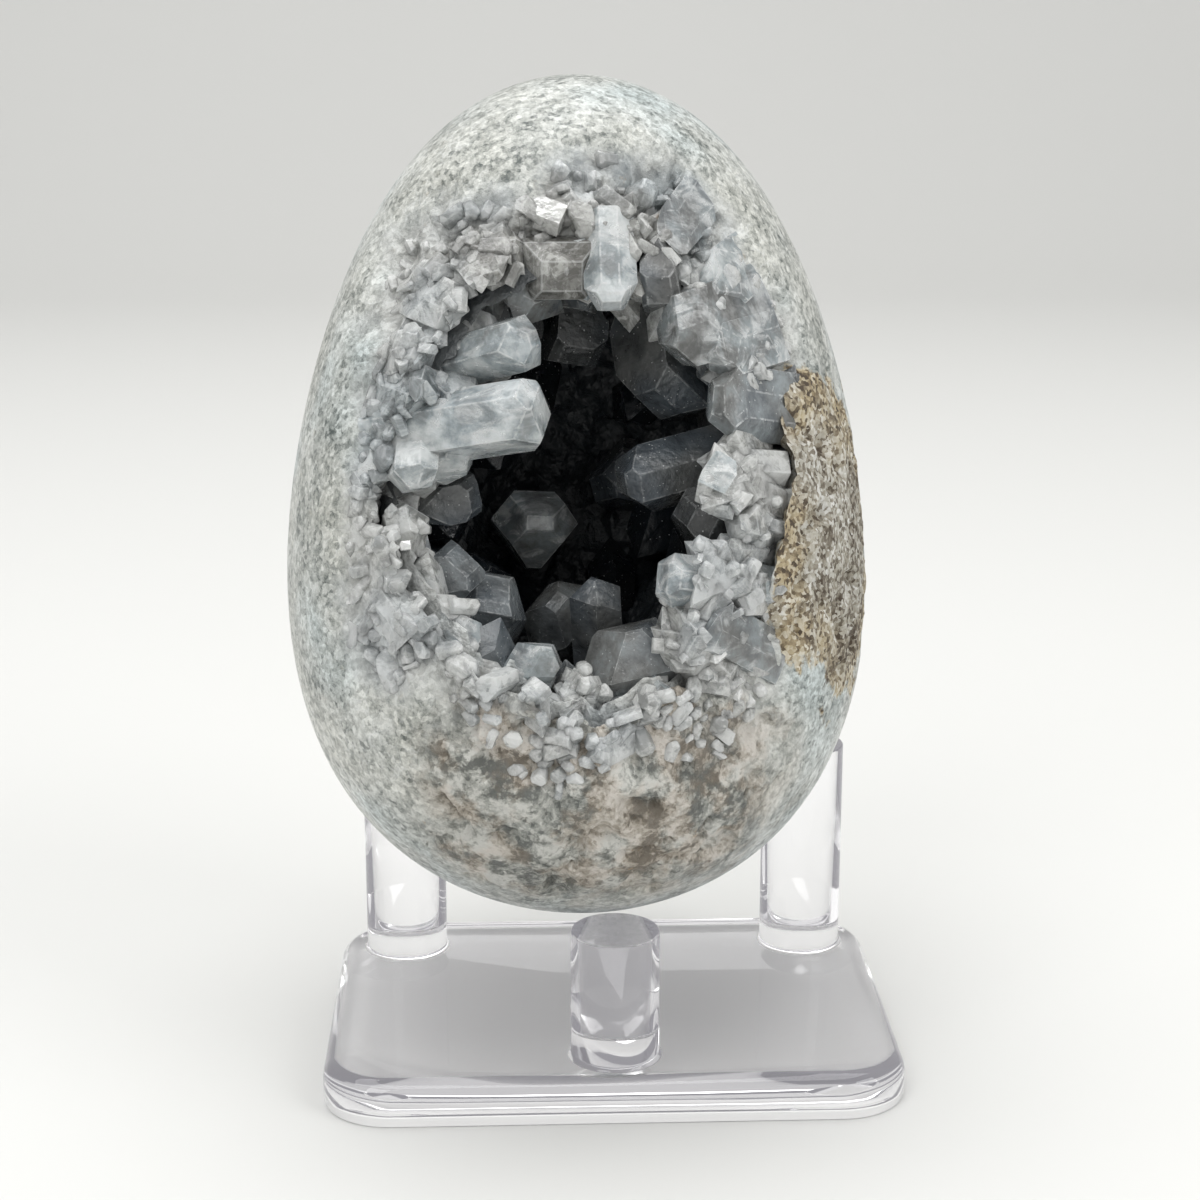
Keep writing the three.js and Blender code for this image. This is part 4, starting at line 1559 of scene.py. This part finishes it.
def mark_patches(piece: Object) -> None:
    """Stores on a piece where broken crystal is slate blue and where it is painted darker and warmer
    under the mouth's ceiling, as painted shade with a warm tint.
    """
    points = EGG.to_egg(corners_of(piece))
    set_values(piece, "slate", patch_share(SLATE_PATCH, points))
    set_values(piece, "smoky", patch_share(SMOKY_SHADE_PATCH, points))


@dataclass
class StoneEgg:
    """The stone body: polished outside, broken round the mouth, earthy on its right side.

    Attributes:
        effects: The shared shader effects.
        parts: How fine the surface is.
        crowd: How much finer the front is than the back.
        rim_depth: How deep the broken ground lies below the polished surface, in mm.
        coarse_depth: How deep its coarse facets are, in mm.
        fine_depth: How deep its fine facets are, in mm.
        crumb_depth: How deep its crumbs are, in mm.
        earth_depth: How deep the earthy ground's pits are, in mm.
        open_depth: How far below the polished surface small crystals still grow, in mm.
    """

    effects: MineralEffects
    parts: int = 84
    crowd: float = 0.3
    rim_depth: float = 2.6
    coarse_depth: float = 1.9
    fine_depth: float = 0.75
    crumb_depth: float = 0.12
    earth_depth: float = 1.1
    open_depth: float = 5.5

    def zones(self, points: np.ndarray) -> dict[str, np.ndarray]:
        """How strongly each kind of ground shows at points of the surface.

        Args:
            points: Points in the egg's frame, in mm.

        Returns:
            A share from 0 to 1 for each point, by zone.
        """
        wander = lumps(points, 7.0, 5)
        rim = depth_in(BROKEN_RIM, points)
        sunk = smooth_step(-4.5, 4.0, rim + 1.5 * wander)
        earth = depth_in(EARTHY_PATCH, points)
        sunk *= 1 - 0.8 * smooth_step(-3.0, 2.0, earth)
        broken = smooth_step(-2.6, 2.2, rim + 2.2 * wander)
        earthy = smooth_step(-2.2, 1.8, earth + 3.4 * lumps(points, 5.0, 15, 4))
        ochre = smooth_step(9.0, 1.0, earth + 3.0 * lumps(points, 7.0, 19))
        low = smooth_step(-4.0, 3.0, depth_in(LOWER_PATCH, points) + 3.0 * lumps(points, 9.0, 25))
        low *= (1 - earthy) * smooth_step(50, 32, points[:, 2] + 3 * wander)
        return {
            "sunk": sunk, "broken": broken * (1 - earthy), "earthy": earthy, "ochre": ochre, "lower": low,
            "slate": patch_share(SLATE_PATCH, points), "smoky": patch_share(SMOKY_SHADE_PATCH, points),
        }

    def creases(self, points: np.ndarray) -> tuple[np.ndarray, np.ndarray, np.ndarray]:
        """The facets of the broken ground.

        Args:
            points: Points in the egg's frame, in mm.

        Returns:
            The coarse facets' height, the fine ones' height, both from about -1 to 1, and how
            sharp an edge each point lies on, from 0 to 1.
        """
        coarse, coarse_edge = facets(points, 6.5, 61)
        fine, fine_edge = facets(points, 2.6, 81)
        return coarse, fine, np.maximum(coarse_edge, 0.6 * fine_edge)

    def build(self) -> Object:
        """Makes the stone's mesh."""
        directions, faces = geodesic(self.parts, self.crowd)
        outer = EGG.surface(directions)
        zone = self.zones(outer)
        crumbs = lumps(outer, 2.2, 31)
        coarse, fine, _ = self.creases(outer)
        relief = self.coarse_depth * coarse + self.fine_depth * fine + self.crumb_depth * crumbs
        inset = zone["sunk"] * (self.rim_depth + relief)
        pits = smooth_step(0.15, 0.7, lumps(outer, 3.2, 41))
        inset += zone["earthy"] * (0.25 + 0.3 * crumbs + self.earth_depth * pits)
        chips = smooth_step(0.0, 0.35, lumps(outer, 6.0, 51))
        inset += zone["lower"] * (1 - zone["sunk"]) * chips * (0.9 + 1.0 * fine + 0.25 * crumbs)
        points = EGG.surface(directions, np.maximum(inset, 0))
        stone = mesh_from("geode_stone", EGG.to_frame(points), faces)
        combine(stone, lobe_solid("hollow_cut", DEEP_HOLLOW, 0.0), "DIFFERENCE")
        return stone

    def dress(self, stone: Object) -> None:
        """Gives the stone its finish, the masks of its crystals and its place in the frame."""
        points = EGG.to_egg(corners_of(stone))
        zone = self.zones(points)
        for name, values in zone.items():
            set_values(stone, name, values)
        # Crease edges, painted pale in the broken colour: partly chips and partly painted glints
        set_values(stone, "worn", self.creases(points)[2])
        distance, reach, _ = EGG.cross_section(points)
        open_ground = (zone["broken"] > 0.6) * (reach - distance < self.open_depth)
        inside = depth_in(DEEP_HOLLOW, points)
        set_values(stone, "coarse", open_ground * smooth_step(-9, -1, inside) * 0.5)
        set_values(stone, "fine", open_ground * smooth_step(-11, -3, inside) * 0.75)
        set_smooth(stone, 30.0)
        coat(stone, PolishedStone(self.effects).make())
        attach(stone, BODY)
        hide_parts("geode_egg")


@dataclass
class RimCrystals:
    """The sugary broken crystals round the mouth.

    Attributes:
        effects: The shared shader effects.
        habit: The crystals' shape.
        scatters: How they are strewn.
        prototype_count: How many different crystals are copied.
        seed: Which draw of prototypes.
        bevel: How far a prototype's edges are rounded, as a share of its width.
        held: How far below the egg's surface they end, at least and how much more, in mm.
    """

    effects: MineralEffects
    habit: CrystalHabit
    scatters: tuple[Scatter, ...] = (
        Scatter("rim_crystals_coarse", "coarse", 4.6, (2.8, 5.6), 80.0, 0.95, 71),
        Scatter("rim_crystals_fine", "fine", 1.8, (1.3, 2.8), 80.0, 0.8, 72),
        Scatter("rock_crumbs", "crumbs", 1.7, (1.2, 3.0), 80.0, 0.85, 73),
    )
    prototype_count: int = 12
    seed: int = 404
    bevel: float = 0.05
    held: tuple[float, float] = (0.05, 0.8)

    def build_prototypes(self) -> Collection:
        """Makes the crystals that are copied, one millimetre across, standing on their roots."""
        shelf = bpy.data.collections.new("rim_prototypes")
        draw = random_stream(self.seed)
        for i in range(self.prototype_count):
            length = 0.9 + 0.9 * next(draw)
            thickness = 0.55 + 0.4 * next(draw)
            planes = self.habit.planes(length, 1.0, thickness, self.seed + 13 * i, i % 3 != 0)
            corners, rings = self.habit.polyhedron(*planes)
            mesh = closed_mesh("rim_prototype", corners * MM, rings, self.bevel * MM, 1)
            shelf.objects.link(bpy.data.objects.new("rim_prototype", mesh))
        return shelf

    def build(self, stone: Object, rocks: Object) -> list[Object]:
        """Grows the crystals on the stone's broken ground and on the rocks, trimmed to the egg.

        Args:
            stone: The egg's stone, with the masks on it.
            rocks: The broken crystals round the mouth, with their mask.

        Returns:
            The pieces.
        """
        shelf = self.build_prototypes()
        finish = SugarCrystal(self.effects).make()
        made = []
        for scatter in self.scatters:
            ground = rocks if scatter.mask == "crumbs" else stone
            grown = scatter.grow(ground, shelf, finish)
            tone = np.empty(len(grown.data.vertices), dtype=np.float32)
            grown.data.attributes["tone"].data.foreach_get("value", tone)
            below = self.held[0] + self.held[1] * tone
            points = EGG.hold_in(EGG.to_egg(corners_of(grown)), below)
            move_corners(grown, EGG.to_frame(points))
            mark_patches(grown)
            made.append(grown)
        return made

    def dress(self, pieces: list[Object]) -> None:
        """Gives the pieces their place in the frame."""
        for piece in pieces:
            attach(piece, BODY)
            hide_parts("crystal_crust")


@dataclass(frozen=True)
class MouthRow:
    """A row of blocks round the mouth.

    Attributes:
        count: How many blocks it has.
        out: How far out it lies, as a share of the mouth's half-size.
        sunk: How far behind the egg's surface it lies, in mm.
        size: The usual size of its blocks, in mm.
        tone: How pale they look, from 0 to 1, lower for rows that lie deeper, as painted shade.
        first: The angle where it starts, in degrees.
        last: The angle where it ends, in degrees.
    """

    count: int
    out: float
    sunk: float
    size: float
    tone: float
    first: float = 0
    last: float = 360


@dataclass
class CrystalCrust:
    """The lining of the hollow and all the crystals that stand on it.

    Attributes:
        effects: The shared shader effects.
        habit: The crystals' shape.
        clearance: The gap to the stone, in mm.
        thickness: The lining's thickness, in mm.
        lining_depth: How far below the egg's surface the lining ends, in mm.
        field_count: How many places the smaller crystals are tried at.
        field_seed: Which draw of them.
        field_lean: How much they lean.
        field_middle: What they point at, in the egg's frame, in mm.
        field_length: The least and most of their length past the lining, as a share of the width.
        field_thickness: The least and most of their thickness, as a share of the width.
        field_tone: How pale the ones at the mouth are, from 0 to 1; deeper ones are painted darker, as
            painted shade.
        mouth_y: The place of the mouth along Y, in mm.
        deep_y: The place from which the hollow is deep, in mm.
        deep_width: The least and most width of the smaller crystals there, in mm.
        mouth_width: The least and most width of those at the mouth, in mm.
        root_height: How far above the wall a crystal's root lies, in mm.
        crowding: How near to a large crystal a smaller one may be, as a share of its width.
        clear_tone: The tone from which a crystal is clear and pale.
        rocky_tone: The tone from which a block is broken rock crystal.
        rock_sink: How far a rocky crystal's tip is set back, in mm.
        rock_root_sink: How far its root is set back, in mm.
        below: How far below the egg's surface the crystals end, in mm.
        crumb_share: How thickly crumbs grow on the rocky crystals, from 0 to 1.
        mouth_seed: Which draw of the mouth's blocks.
        mouth_half: The mouth's two half-sizes, in mm.
        mouth_rows: The rows of blocks round the mouth.
    """

    effects: MineralEffects
    habit: CrystalHabit
    clearance: float = 0.3
    thickness: float = 2.6
    lining_depth: float = 5.0
    field_count: int = 40
    field_seed: int = 2024
    field_lean: float = 0.9
    field_middle: Triple = (-1, -16, 61)
    field_length: tuple[float, float] = (0.5, 1.1)
    field_thickness: tuple[float, float] = (0.55, 0.9)
    field_tone: float = 0.85
    mouth_y: float = -40
    deep_y: float = -18
    deep_width: tuple[float, float] = (8, 13)
    mouth_width: tuple[float, float] = (4.5, 7)
    root_height: float = 0.5
    crowding: float = 0.55
    clear_tone: float = 0.4
    rocky_tone: float = 0.52
    rock_sink: float = 1.6
    rock_root_sink: float = 7.0
    below: float = 0.8
    crumb_share: float = 0.55
    mouth_seed: int = 909
    mouth_half: tuple[float, float] = (22.5, 26.5)
    # Rows that lie deeper get lower tones: painted shade
    mouth_rows: tuple[MouthRow, ...] = (
        MouthRow(34, 1.16, 3.8, 5.2, 0.75),
        MouthRow(34, 1.13, 6.5, 5.6, 0.6),
        MouthRow(30, 1.12, 10.0, 7.0, 0.4),
        MouthRow(26, 1.12, 14.0, 8.5, 0.2),
        MouthRow(13, 1.02, 0.5, 6.0, 0.9, -58, 14),
        MouthRow(8, 0.88, 3.0, 5.5, 0.8, -52, -18),
    )

    def wall_distance(self, start: np.ndarray, direction: np.ndarray) -> float:
        """How far a ray from inside the deep hollow runs before it meets the wall.

        Args:
            start: Where it starts, in the egg's frame, in mm.
            direction: A unit vector along it.

        Returns:
            Its length, in mm.
        """
        lobe = DEEP_HOLLOW[0]
        begin = (start - lobe.middle) / lobe.half
        step = direction / lobe.half
        a, b, c = step @ step, begin @ step, begin @ begin - 1
        return (-b + math.sqrt(b * b - a * c)) / a

    def is_crowded(self, place: np.ndarray) -> bool:
        """Whether a large crystal already fills a place.

        Args:
            place: The place, in the egg's frame, in mm.

        Returns:
            True where it does.
        """
        for one in LARGE_CRYSTALS.values():
            root, tip = np.array(one.root), np.array(one.tip)
            share = np.clip((place - root) @ (tip - root) / ((tip - root) @ (tip - root)), 0, 1)
            if np.linalg.norm(root + share * (tip - root) - place) < one.width * self.crowding:
                return True
        return False

    def field_crystals(self) -> list[BigCrystal]:
        """The smaller crystals, spread evenly over the wall, bigger deep inside than at the mouth."""
        draw = random_stream(self.field_seed)
        golden = math.pi * (3 - math.sqrt(5))
        middle = np.array(self.field_middle, dtype=float)
        found = []
        for i in range(self.field_count):
            height = 1 - (2 * (i + 0.5)) / self.field_count
            across = math.sqrt(1 - height * height)
            outward = np.array([across * math.cos(golden * i), across * math.sin(golden * i), height])
            wall = middle + outward * self.wall_distance(middle, outward)
            depth = min(max((wall[1] - self.mouth_y) / (self.deep_y - self.mouth_y), 0), 1)
            size = next(draw)
            width = mix(mix(*self.mouth_width, size), mix(*self.deep_width, size), depth)
            axis = random_lean(draw) * self.field_lean - outward
            axis /= np.linalg.norm(axis)
            tip = wall + axis * (self.thickness + width * mix(*self.field_length, next(draw)))
            if wall[1] < self.mouth_y or self.is_crowded(tip):
                continue
            root = wall + axis * self.root_height
            thickness = width * mix(*self.field_thickness, next(draw))
            # Painted shade: the deeper a crystal's tip lies in the hollow, the darker its tone
            tone = self.field_tone * float(smooth_step(-26, -39, tip[1]))
            found.append(BigCrystal(tuple(root), tuple(tip), width, thickness, 360 * next(draw), tone))
        return found

    def mouth_crystals(self) -> list[BigCrystal]:
        """Blocks all round the mouth, in rows from its edge inwards, which make it uneven."""
        draw = random_stream(self.mouth_seed)
        middle = DEEP_HOLLOW[0].middle
        found = []
        for row in self.mouth_rows:
            for i in range(row.count):
                angle = math.radians(mix(row.first, row.last, (i + 0.9 * next(draw)) / row.count))
                out = row.out + 0.16 * (next(draw) - 0.5)
                x = middle[0] + self.mouth_half[0] * math.cos(angle) * out
                z = middle[2] + self.mouth_half[1] * math.sin(angle) * out
                width = row.size * (0.6 + 0.9 * next(draw))
                place = np.array([x, EGG.front(x, z) + row.sunk + 2.5 * next(draw), z])
                inward = np.array([-math.cos(angle), -0.3, -math.sin(angle)])
                axis = inward + 0.9 * random_lean(draw)
                axis /= np.linalg.norm(axis)
                length = width * (0.9 + 0.7 * next(draw))
                root = place - axis * 0.55 * length
                tip = place + axis * 0.45 * length
                thickness = width * (0.6 + 0.35 * next(draw))
                shade = row.tone + 0.3 * (next(draw) - 0.5)
                turn = 360 * next(draw)
                rocky = shade >= self.rocky_tone
                found.append(BigCrystal(tuple(root), tuple(tip), width, thickness, turn, shade, rocky))
        return found

    def build_lining(self) -> Object:
        """Makes the lining between the stone and the crystals."""
        lining = lobe_solid("crystal_lining", DEEP_HOLLOW, -self.clearance)
        inner = lobe_solid("lining_cut", DEEP_HOLLOW, -self.clearance - self.thickness)
        combine(lining, inner, "DIFFERENCE")
        directions, faces = geodesic(24)
        inner_egg = EGG.to_frame(EGG.surface(directions, self.lining_depth))
        trim = mesh_from("lining_trim", inner_egg, faces)
        combine(lining, trim, "INTERSECT")
        return lining

    def build_crystals(self) -> dict[Growth, Object]:
        """Makes the large and smaller crystals, and puts those of each growth in one piece."""
        large = list(LARGE_CRYSTALS.values())
        smaller = self.field_crystals() + self.mouth_crystals()
        log.info("%d large and %d smaller crystals", len(large), len(smaller))
        rows = [(one, 101 + 17 * i, True) for i, one in enumerate(large)]
        rows += [(one, 5003 + 31 * i, False) for i, one in enumerate(smaller)]
        groups = {growth: [] for growth in Growth}
        for one, seed, trimmed in rows:
            growth = Growth.HERO if one.tone >= self.clear_tone else Growth.DEEP
            growth = Growth.ROCK if one.rocky else growth
            if one.rocky:
                root, tip = Vector(one.root), Vector(one.tip)
                root.y += self.rock_root_sink
                tip.y += self.rock_sink
                one = replace(one, root=tuple(root), tip=tuple(tip))
            groups[growth].append(self.habit.solid("crystal", one, seed, trimmed))
        made = {}
        for growth, parts in groups.items():
            made[growth] = merge(f"crystals_{growth.value}", parts)
            points = EGG.to_egg(corners_of(made[growth]))
            move_corners(made[growth], EGG.to_frame(EGG.hold_in(points, self.below)))
        return made

    def dress(self, lining: Object, crystals: dict[Growth, Object]) -> None:
        """Gives the crust its finishes and its place in the frame."""
        # Painted shade: the lining turns near black from the mouth inwards
        set_values(lining, "depth", smooth_step(-35, -27, EGG.to_egg(corners_of(lining))[:, 1]))
        coat(lining, CrustGround(self.effects).make())
        finishes = {
            Growth.ROCK: SugarCrystal(self.effects),
            Growth.HERO: Celestite(
                self.effects, Growth.HERO,
                veil_share=0.66, transmission=0.4, roughness=0.03, dust=0.02,
            ),
            Growth.DEEP: Celestite(
                self.effects, Growth.DEEP,
                veil_share=0.35, transmission=0.25, roughness=0.12, dust=0.3,
            ),
        }
        for growth, piece in crystals.items():
            coat(piece, finishes[growth].make())
        rocks = crystals[Growth.ROCK]
        points = EGG.to_egg(corners_of(rocks))
        set_values(rocks, "crumbs", self.crumb_share * smooth_step(-27, -31, points[:, 1]))
        mark_patches(rocks)
        for piece in (lining, *crystals.values()):
            set_smooth(piece, 22.0)
            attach(piece, BODY)
            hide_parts("crystal_crust")


def level_arc(
    middle: tuple[float, float], radius: float, height: float, angles: list[float]
) -> np.ndarray:
    """Points at given angles on a level circle, one per row."""
    x, y = middle
    return np.array([(x + radius * math.cos(a), y + radius * math.sin(a), height) for a in angles])


@dataclass
class DisplayStand:
    """The clear stand: a plate with a rounded upper edge and three pegs cemented to it.

    Attributes:
        corner_radius: The plate's corners, in mm.
        edge_radius: The plate's upper edge, in mm.
        cement: How far the cement spreads round a peg's foot, in mm.
        flare: How much wider a peg's box is than the peg itself, in mm.
        peg_rim: The radius of a peg's upper edge, in mm.
        peg_sink: How far a peg's foot is sunk in the plate, in mm.
        lower_edge: How far in and how high each step of the plate's lower edge lies, in mm.
        fillet: How far out and how high each step of the set cement lies, in mm.
        rim_angles: The steps of a peg's upper edge, in radians.
        corner_steps: How many steps a corner has.
        edge_steps: How many steps the plate's upper edge has.
        peg_steps: How many steps a peg has round it.
    """

    corner_radius: float = 10.0
    edge_radius: float = 2.8
    cement: float = 0.45
    flare: float = 0.35
    peg_rim: float = 0.35
    peg_sink: float = 1.0
    lower_edge: tuple[tuple[float, float], ...] = ((0.35, 0.0), (0.1, 0.1), (0.0, 0.35))
    fillet: tuple[tuple[float, float], ...] = ((0.18, 0.25), (0.0, 0.8))
    rim_angles: tuple[float, ...] = (0, 0.5, 1.05, 1.57)
    corner_steps: int = 16
    edge_steps: int = 10
    peg_steps: int = 72

    def plate_ring(self, width: float, depth: float, inset: float, height: float) -> np.ndarray:
        """One level outline of the plate.

        Args:
            width: The plate's size along X, in mm.
            depth: The plate's size along Y, in mm.
            inset: How far the outline lies inside the plate's edge, in mm.
            height: Its height, in mm.

        Returns:
            Its points, one per row.
        """
        radius = self.corner_radius - inset
        x, y = width / 2 - self.corner_radius, depth / 2 - self.corner_radius
        points = []
        for n, middle in enumerate(((x, y), (-x, y), (-x, -y), (x, -y))):
            angles = [math.pi / 2 * (n + k / self.corner_steps) for k in range(self.corner_steps + 1)]
            points.append(level_arc(middle, radius, height, angles))
        return np.concatenate(points)

    def stack(self, name: str, rings: list[np.ndarray]) -> Object:
        """A closed solid through level rings of points.

        Args:
            name: The object's name.
            rings: The rings, of equal length, from the lowest to the highest, in mm.

        Returns:
            The new object.
        """
        count = len(rings[0])
        top = (len(rings) - 1) * count
        faces = []
        for low in range(0, top, count):
            for i in range(count):
                after = (i + 1) % count
                faces.append((low + i, low + after, low + count + after, low + count + i))
        faces += [tuple(range(count))[::-1], tuple(range(top, top + count))]
        points = np.concatenate(rings) * MM
        mesh = bpy.data.meshes.new(name)
        mesh.from_pydata(points.tolist(), [], faces)
        return add_object(name, mesh)

    def build_plate(self) -> Object:
        """Makes the plate to the frame's size."""
        low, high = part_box("stand_plate")
        width, depth, height = (high - low) / MM
        edge = self.edge_radius
        steps = [math.pi / 2 * k / self.edge_steps for k in range(self.edge_steps + 1)]
        profile = list(self.lower_edge)
        profile += [(edge - edge * math.cos(a), height - edge + edge * math.sin(a)) for a in steps]
        return self.stack("acrylic_stand", [self.plate_ring(width, depth, i, z) for i, z in profile])

    def build_peg(self, node: str) -> Object:
        """Makes one peg to the frame's size, its foot sunk in the plate.

        Args:
            node: The peg's name in the frame.

        Returns:
            The new object.
        """
        low, high = (np.array(corner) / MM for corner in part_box(node))
        middle = (low[:2] + high[:2]) / 2
        foot = high[0] - middle[0]
        radius = foot - self.flare
        rim = self.peg_rim
        profile = [(foot, low[2] - self.peg_sink), (foot + self.cement - self.flare, low[2])]
        profile += [(radius + out, low[2] + up) for out, up in self.fillet]
        profile += [
            (radius - rim + rim * math.cos(a), high[2] - rim + rim * math.sin(a))
            for a in self.rim_angles
        ]
        angles = [2 * math.pi * k / self.peg_steps for k in range(self.peg_steps)]
        return self.stack(node, [level_arc(middle, r, z, angles) for r, z in profile])

    def build(self) -> Object:
        """Makes the stand as one clear solid, as its cemented joints are clear too."""
        stand = self.build_plate()
        for node in ("stand_front_peg", "stand_left_rear_peg", "stand_right_rear_peg"):
            combine(stand, self.build_peg(node), "UNION")
        return stand

    def dress(self, stand: Object) -> None:
        """Gives the stand its finish and its place in the frame."""
        coat(stand, ClearAcrylic().make())
        set_smooth(stand, 30.0)
        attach(stand, BODY)
        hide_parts("stand_plate", "stand_front_peg", "stand_left_rear_peg", "stand_right_rear_peg")


@dataclass(frozen=True)
class Lamp:
    """A soft square lamp.

    Attributes:
        name: Its name.
        place: Where it hangs, in m.
        aim: What it points at, in m.
        size: Its width, in m.
        power: Its power, in W.
    """

    name: str
    place: Triple
    aim: Triple
    size: float
    power: float


@dataclass
class Studio:
    """The pale floor, the soft light and the camera of the photograph.

    Attributes:
        lens: The camera's focal length, in mm.
        eye: The camera's place, in mm.
        pitch: How far it looks down, in degrees.
        yaw: How far it looks to the right, in degrees.
        sensor: The width of its sensor, in mm.
        floor_gap: How far the floor lies below the stand, in mm, so that the two never coincide.
        floor_front: Where the floor starts, along Y, in m.
        floor_back: Where it starts to curve up, in m.
        floor_curve: The radius of that curve, in m.
        floor_top: How high it ends, in m.
        floor_side: How far it reaches to each side, in m.
        tent_color: The colour of the white tent's light.
        tent_strength: How bright that light is.
        lamps: The lamps.
    """

    lens: float = 68.8
    eye: Triple = (-13.9, -323.8, 152.8)
    pitch: float = 14.62
    yaw: float = 2.22
    sensor: float = 36.0
    floor_gap: float = 0.05
    floor_front: float = -2.0
    floor_back: float = 0.9
    floor_curve: float = 0.5
    floor_top: float = 2.2
    floor_side: float = 2.5
    tent_color: Triple = (1.0, 1.0, 0.985)
    tent_strength: float = 0.54
    lamps: tuple[Lamp, ...] = (
        Lamp("overhead", (-0.1, 0.1, 1.0), (0, 0.03, 0.05), 1.0, 7.5),
        Lamp("front left", (-0.5, -0.75, 1.0), (0, 0, 0.09), 0.6, 3.5),
        Lamp("front right", (0.8, -0.55, 0.75), (0, 0, 0.09), 0.6, 4.0),
    )

    def build_camera(self) -> None:
        """Makes the camera at the photograph's viewing angle."""
        data = bpy.data.cameras.new("camera")
        data.lens = self.lens
        data.sensor_width = self.sensor
        data.clip_start = 0.01
        camera = bpy.data.objects.new("camera", data)
        bpy.context.scene.collection.objects.link(camera)
        pitch, yaw = math.radians(self.pitch), math.radians(self.yaw)
        level = math.cos(pitch)
        ahead = Vector((math.sin(yaw) * level, math.cos(yaw) * level, -math.sin(pitch)))
        right = Vector((math.cos(yaw), -math.sin(yaw), 0))
        turn = Matrix((right, right.cross(ahead), -ahead)).transposed().to_4x4()
        camera.matrix_world = Matrix.Translation(Vector(self.eye) * MM) @ turn
        bpy.context.scene.camera = camera

    def build_floor(self) -> None:
        """Makes a pale floor that curves up far behind."""
        drop, back, curve = self.floor_gap * MM, self.floor_back, self.floor_curve
        profile = [(self.floor_front, -drop), (back, -drop)]
        profile += [
            (back + curve * math.sin(a), curve - curve * math.cos(a))
            for a in np.linspace(0, math.pi / 2, 13)[1:]
        ]
        profile.append((back + curve, self.floor_top))
        points = [(x, y, z) for y, z in profile for x in (-self.floor_side, self.floor_side)]
        faces = [(2 * i, 2 * i + 1, 2 * i + 3, 2 * i + 2) for i in range(len(profile) - 1)]
        floor = mesh_from("floor", np.array(points), np.array(faces))
        coat(floor, PaperFloor().make())
        floor.data.shade_smooth()

    def build_lights(self) -> None:
        """Makes the soft light of a white tent."""
        world = bpy.data.worlds.new("studio")
        world.use_nodes = True
        sky = world.node_tree.nodes["Background"]
        sky.inputs["Color"].default_value = (*self.tent_color, 1)
        sky.inputs["Strength"].default_value = self.tent_strength
        bpy.context.scene.world = world
        for one in self.lamps:
            data = bpy.data.lights.new(one.name, "AREA")
            data.size = one.size
            data.energy = one.power
            lamp = bpy.data.objects.new(one.name, data)
            lamp.location = one.place
            aim = Vector(one.aim) - Vector(one.place)
            lamp.rotation_euler = aim.to_track_quat("-Z", "Y").to_euler()
            bpy.context.scene.collection.objects.link(lamp)

    def build(self) -> None:
        """Makes the whole studio."""
        self.build_camera()
        self.build_floor()
        self.build_lights()
        scene = bpy.context.scene
        scene.view_settings.view_transform = "Standard"
        scene.cycles.use_denoising = True
        scene.cycles.max_bounces = 7
        scene.cycles.diffuse_bounces = 2
        scene.cycles.glossy_bounces = 6
        scene.cycles.transmission_bounces = 7
        scene.cycles.blur_glossy = 1.0
        scene.cycles.caustics_reflective = False


def main() -> None:
    """Builds the scene in order and reports each piece."""
    logging.basicConfig(level=logging.INFO, format="%(name)s: %(message)s")
    Studio().build()
    effects = MineralEffects()
    habit = CrystalHabit()
    stand = DisplayStand()
    stand.dress(stand.build())
    egg = StoneEgg(effects)
    stone = egg.build()
    egg.dress(stone)
    crust = CrystalCrust(effects, habit)
    lining, crystals = crust.build_lining(), crust.build_crystals()
    crust.dress(lining, crystals)
    rim = RimCrystals(effects, habit)
    rim_pieces = rim.build(stone, crystals[Growth.ROCK])
    rim.dress(rim_pieces)
    for piece in (stone, lining):
        drop_shards(piece)
    for piece in (stone, lining, *rim_pieces, *crystals.values()):
        log.info("%s: %d faces", piece.name, len(piece.data.polygons))


if __name__ == "__main__":
    main()
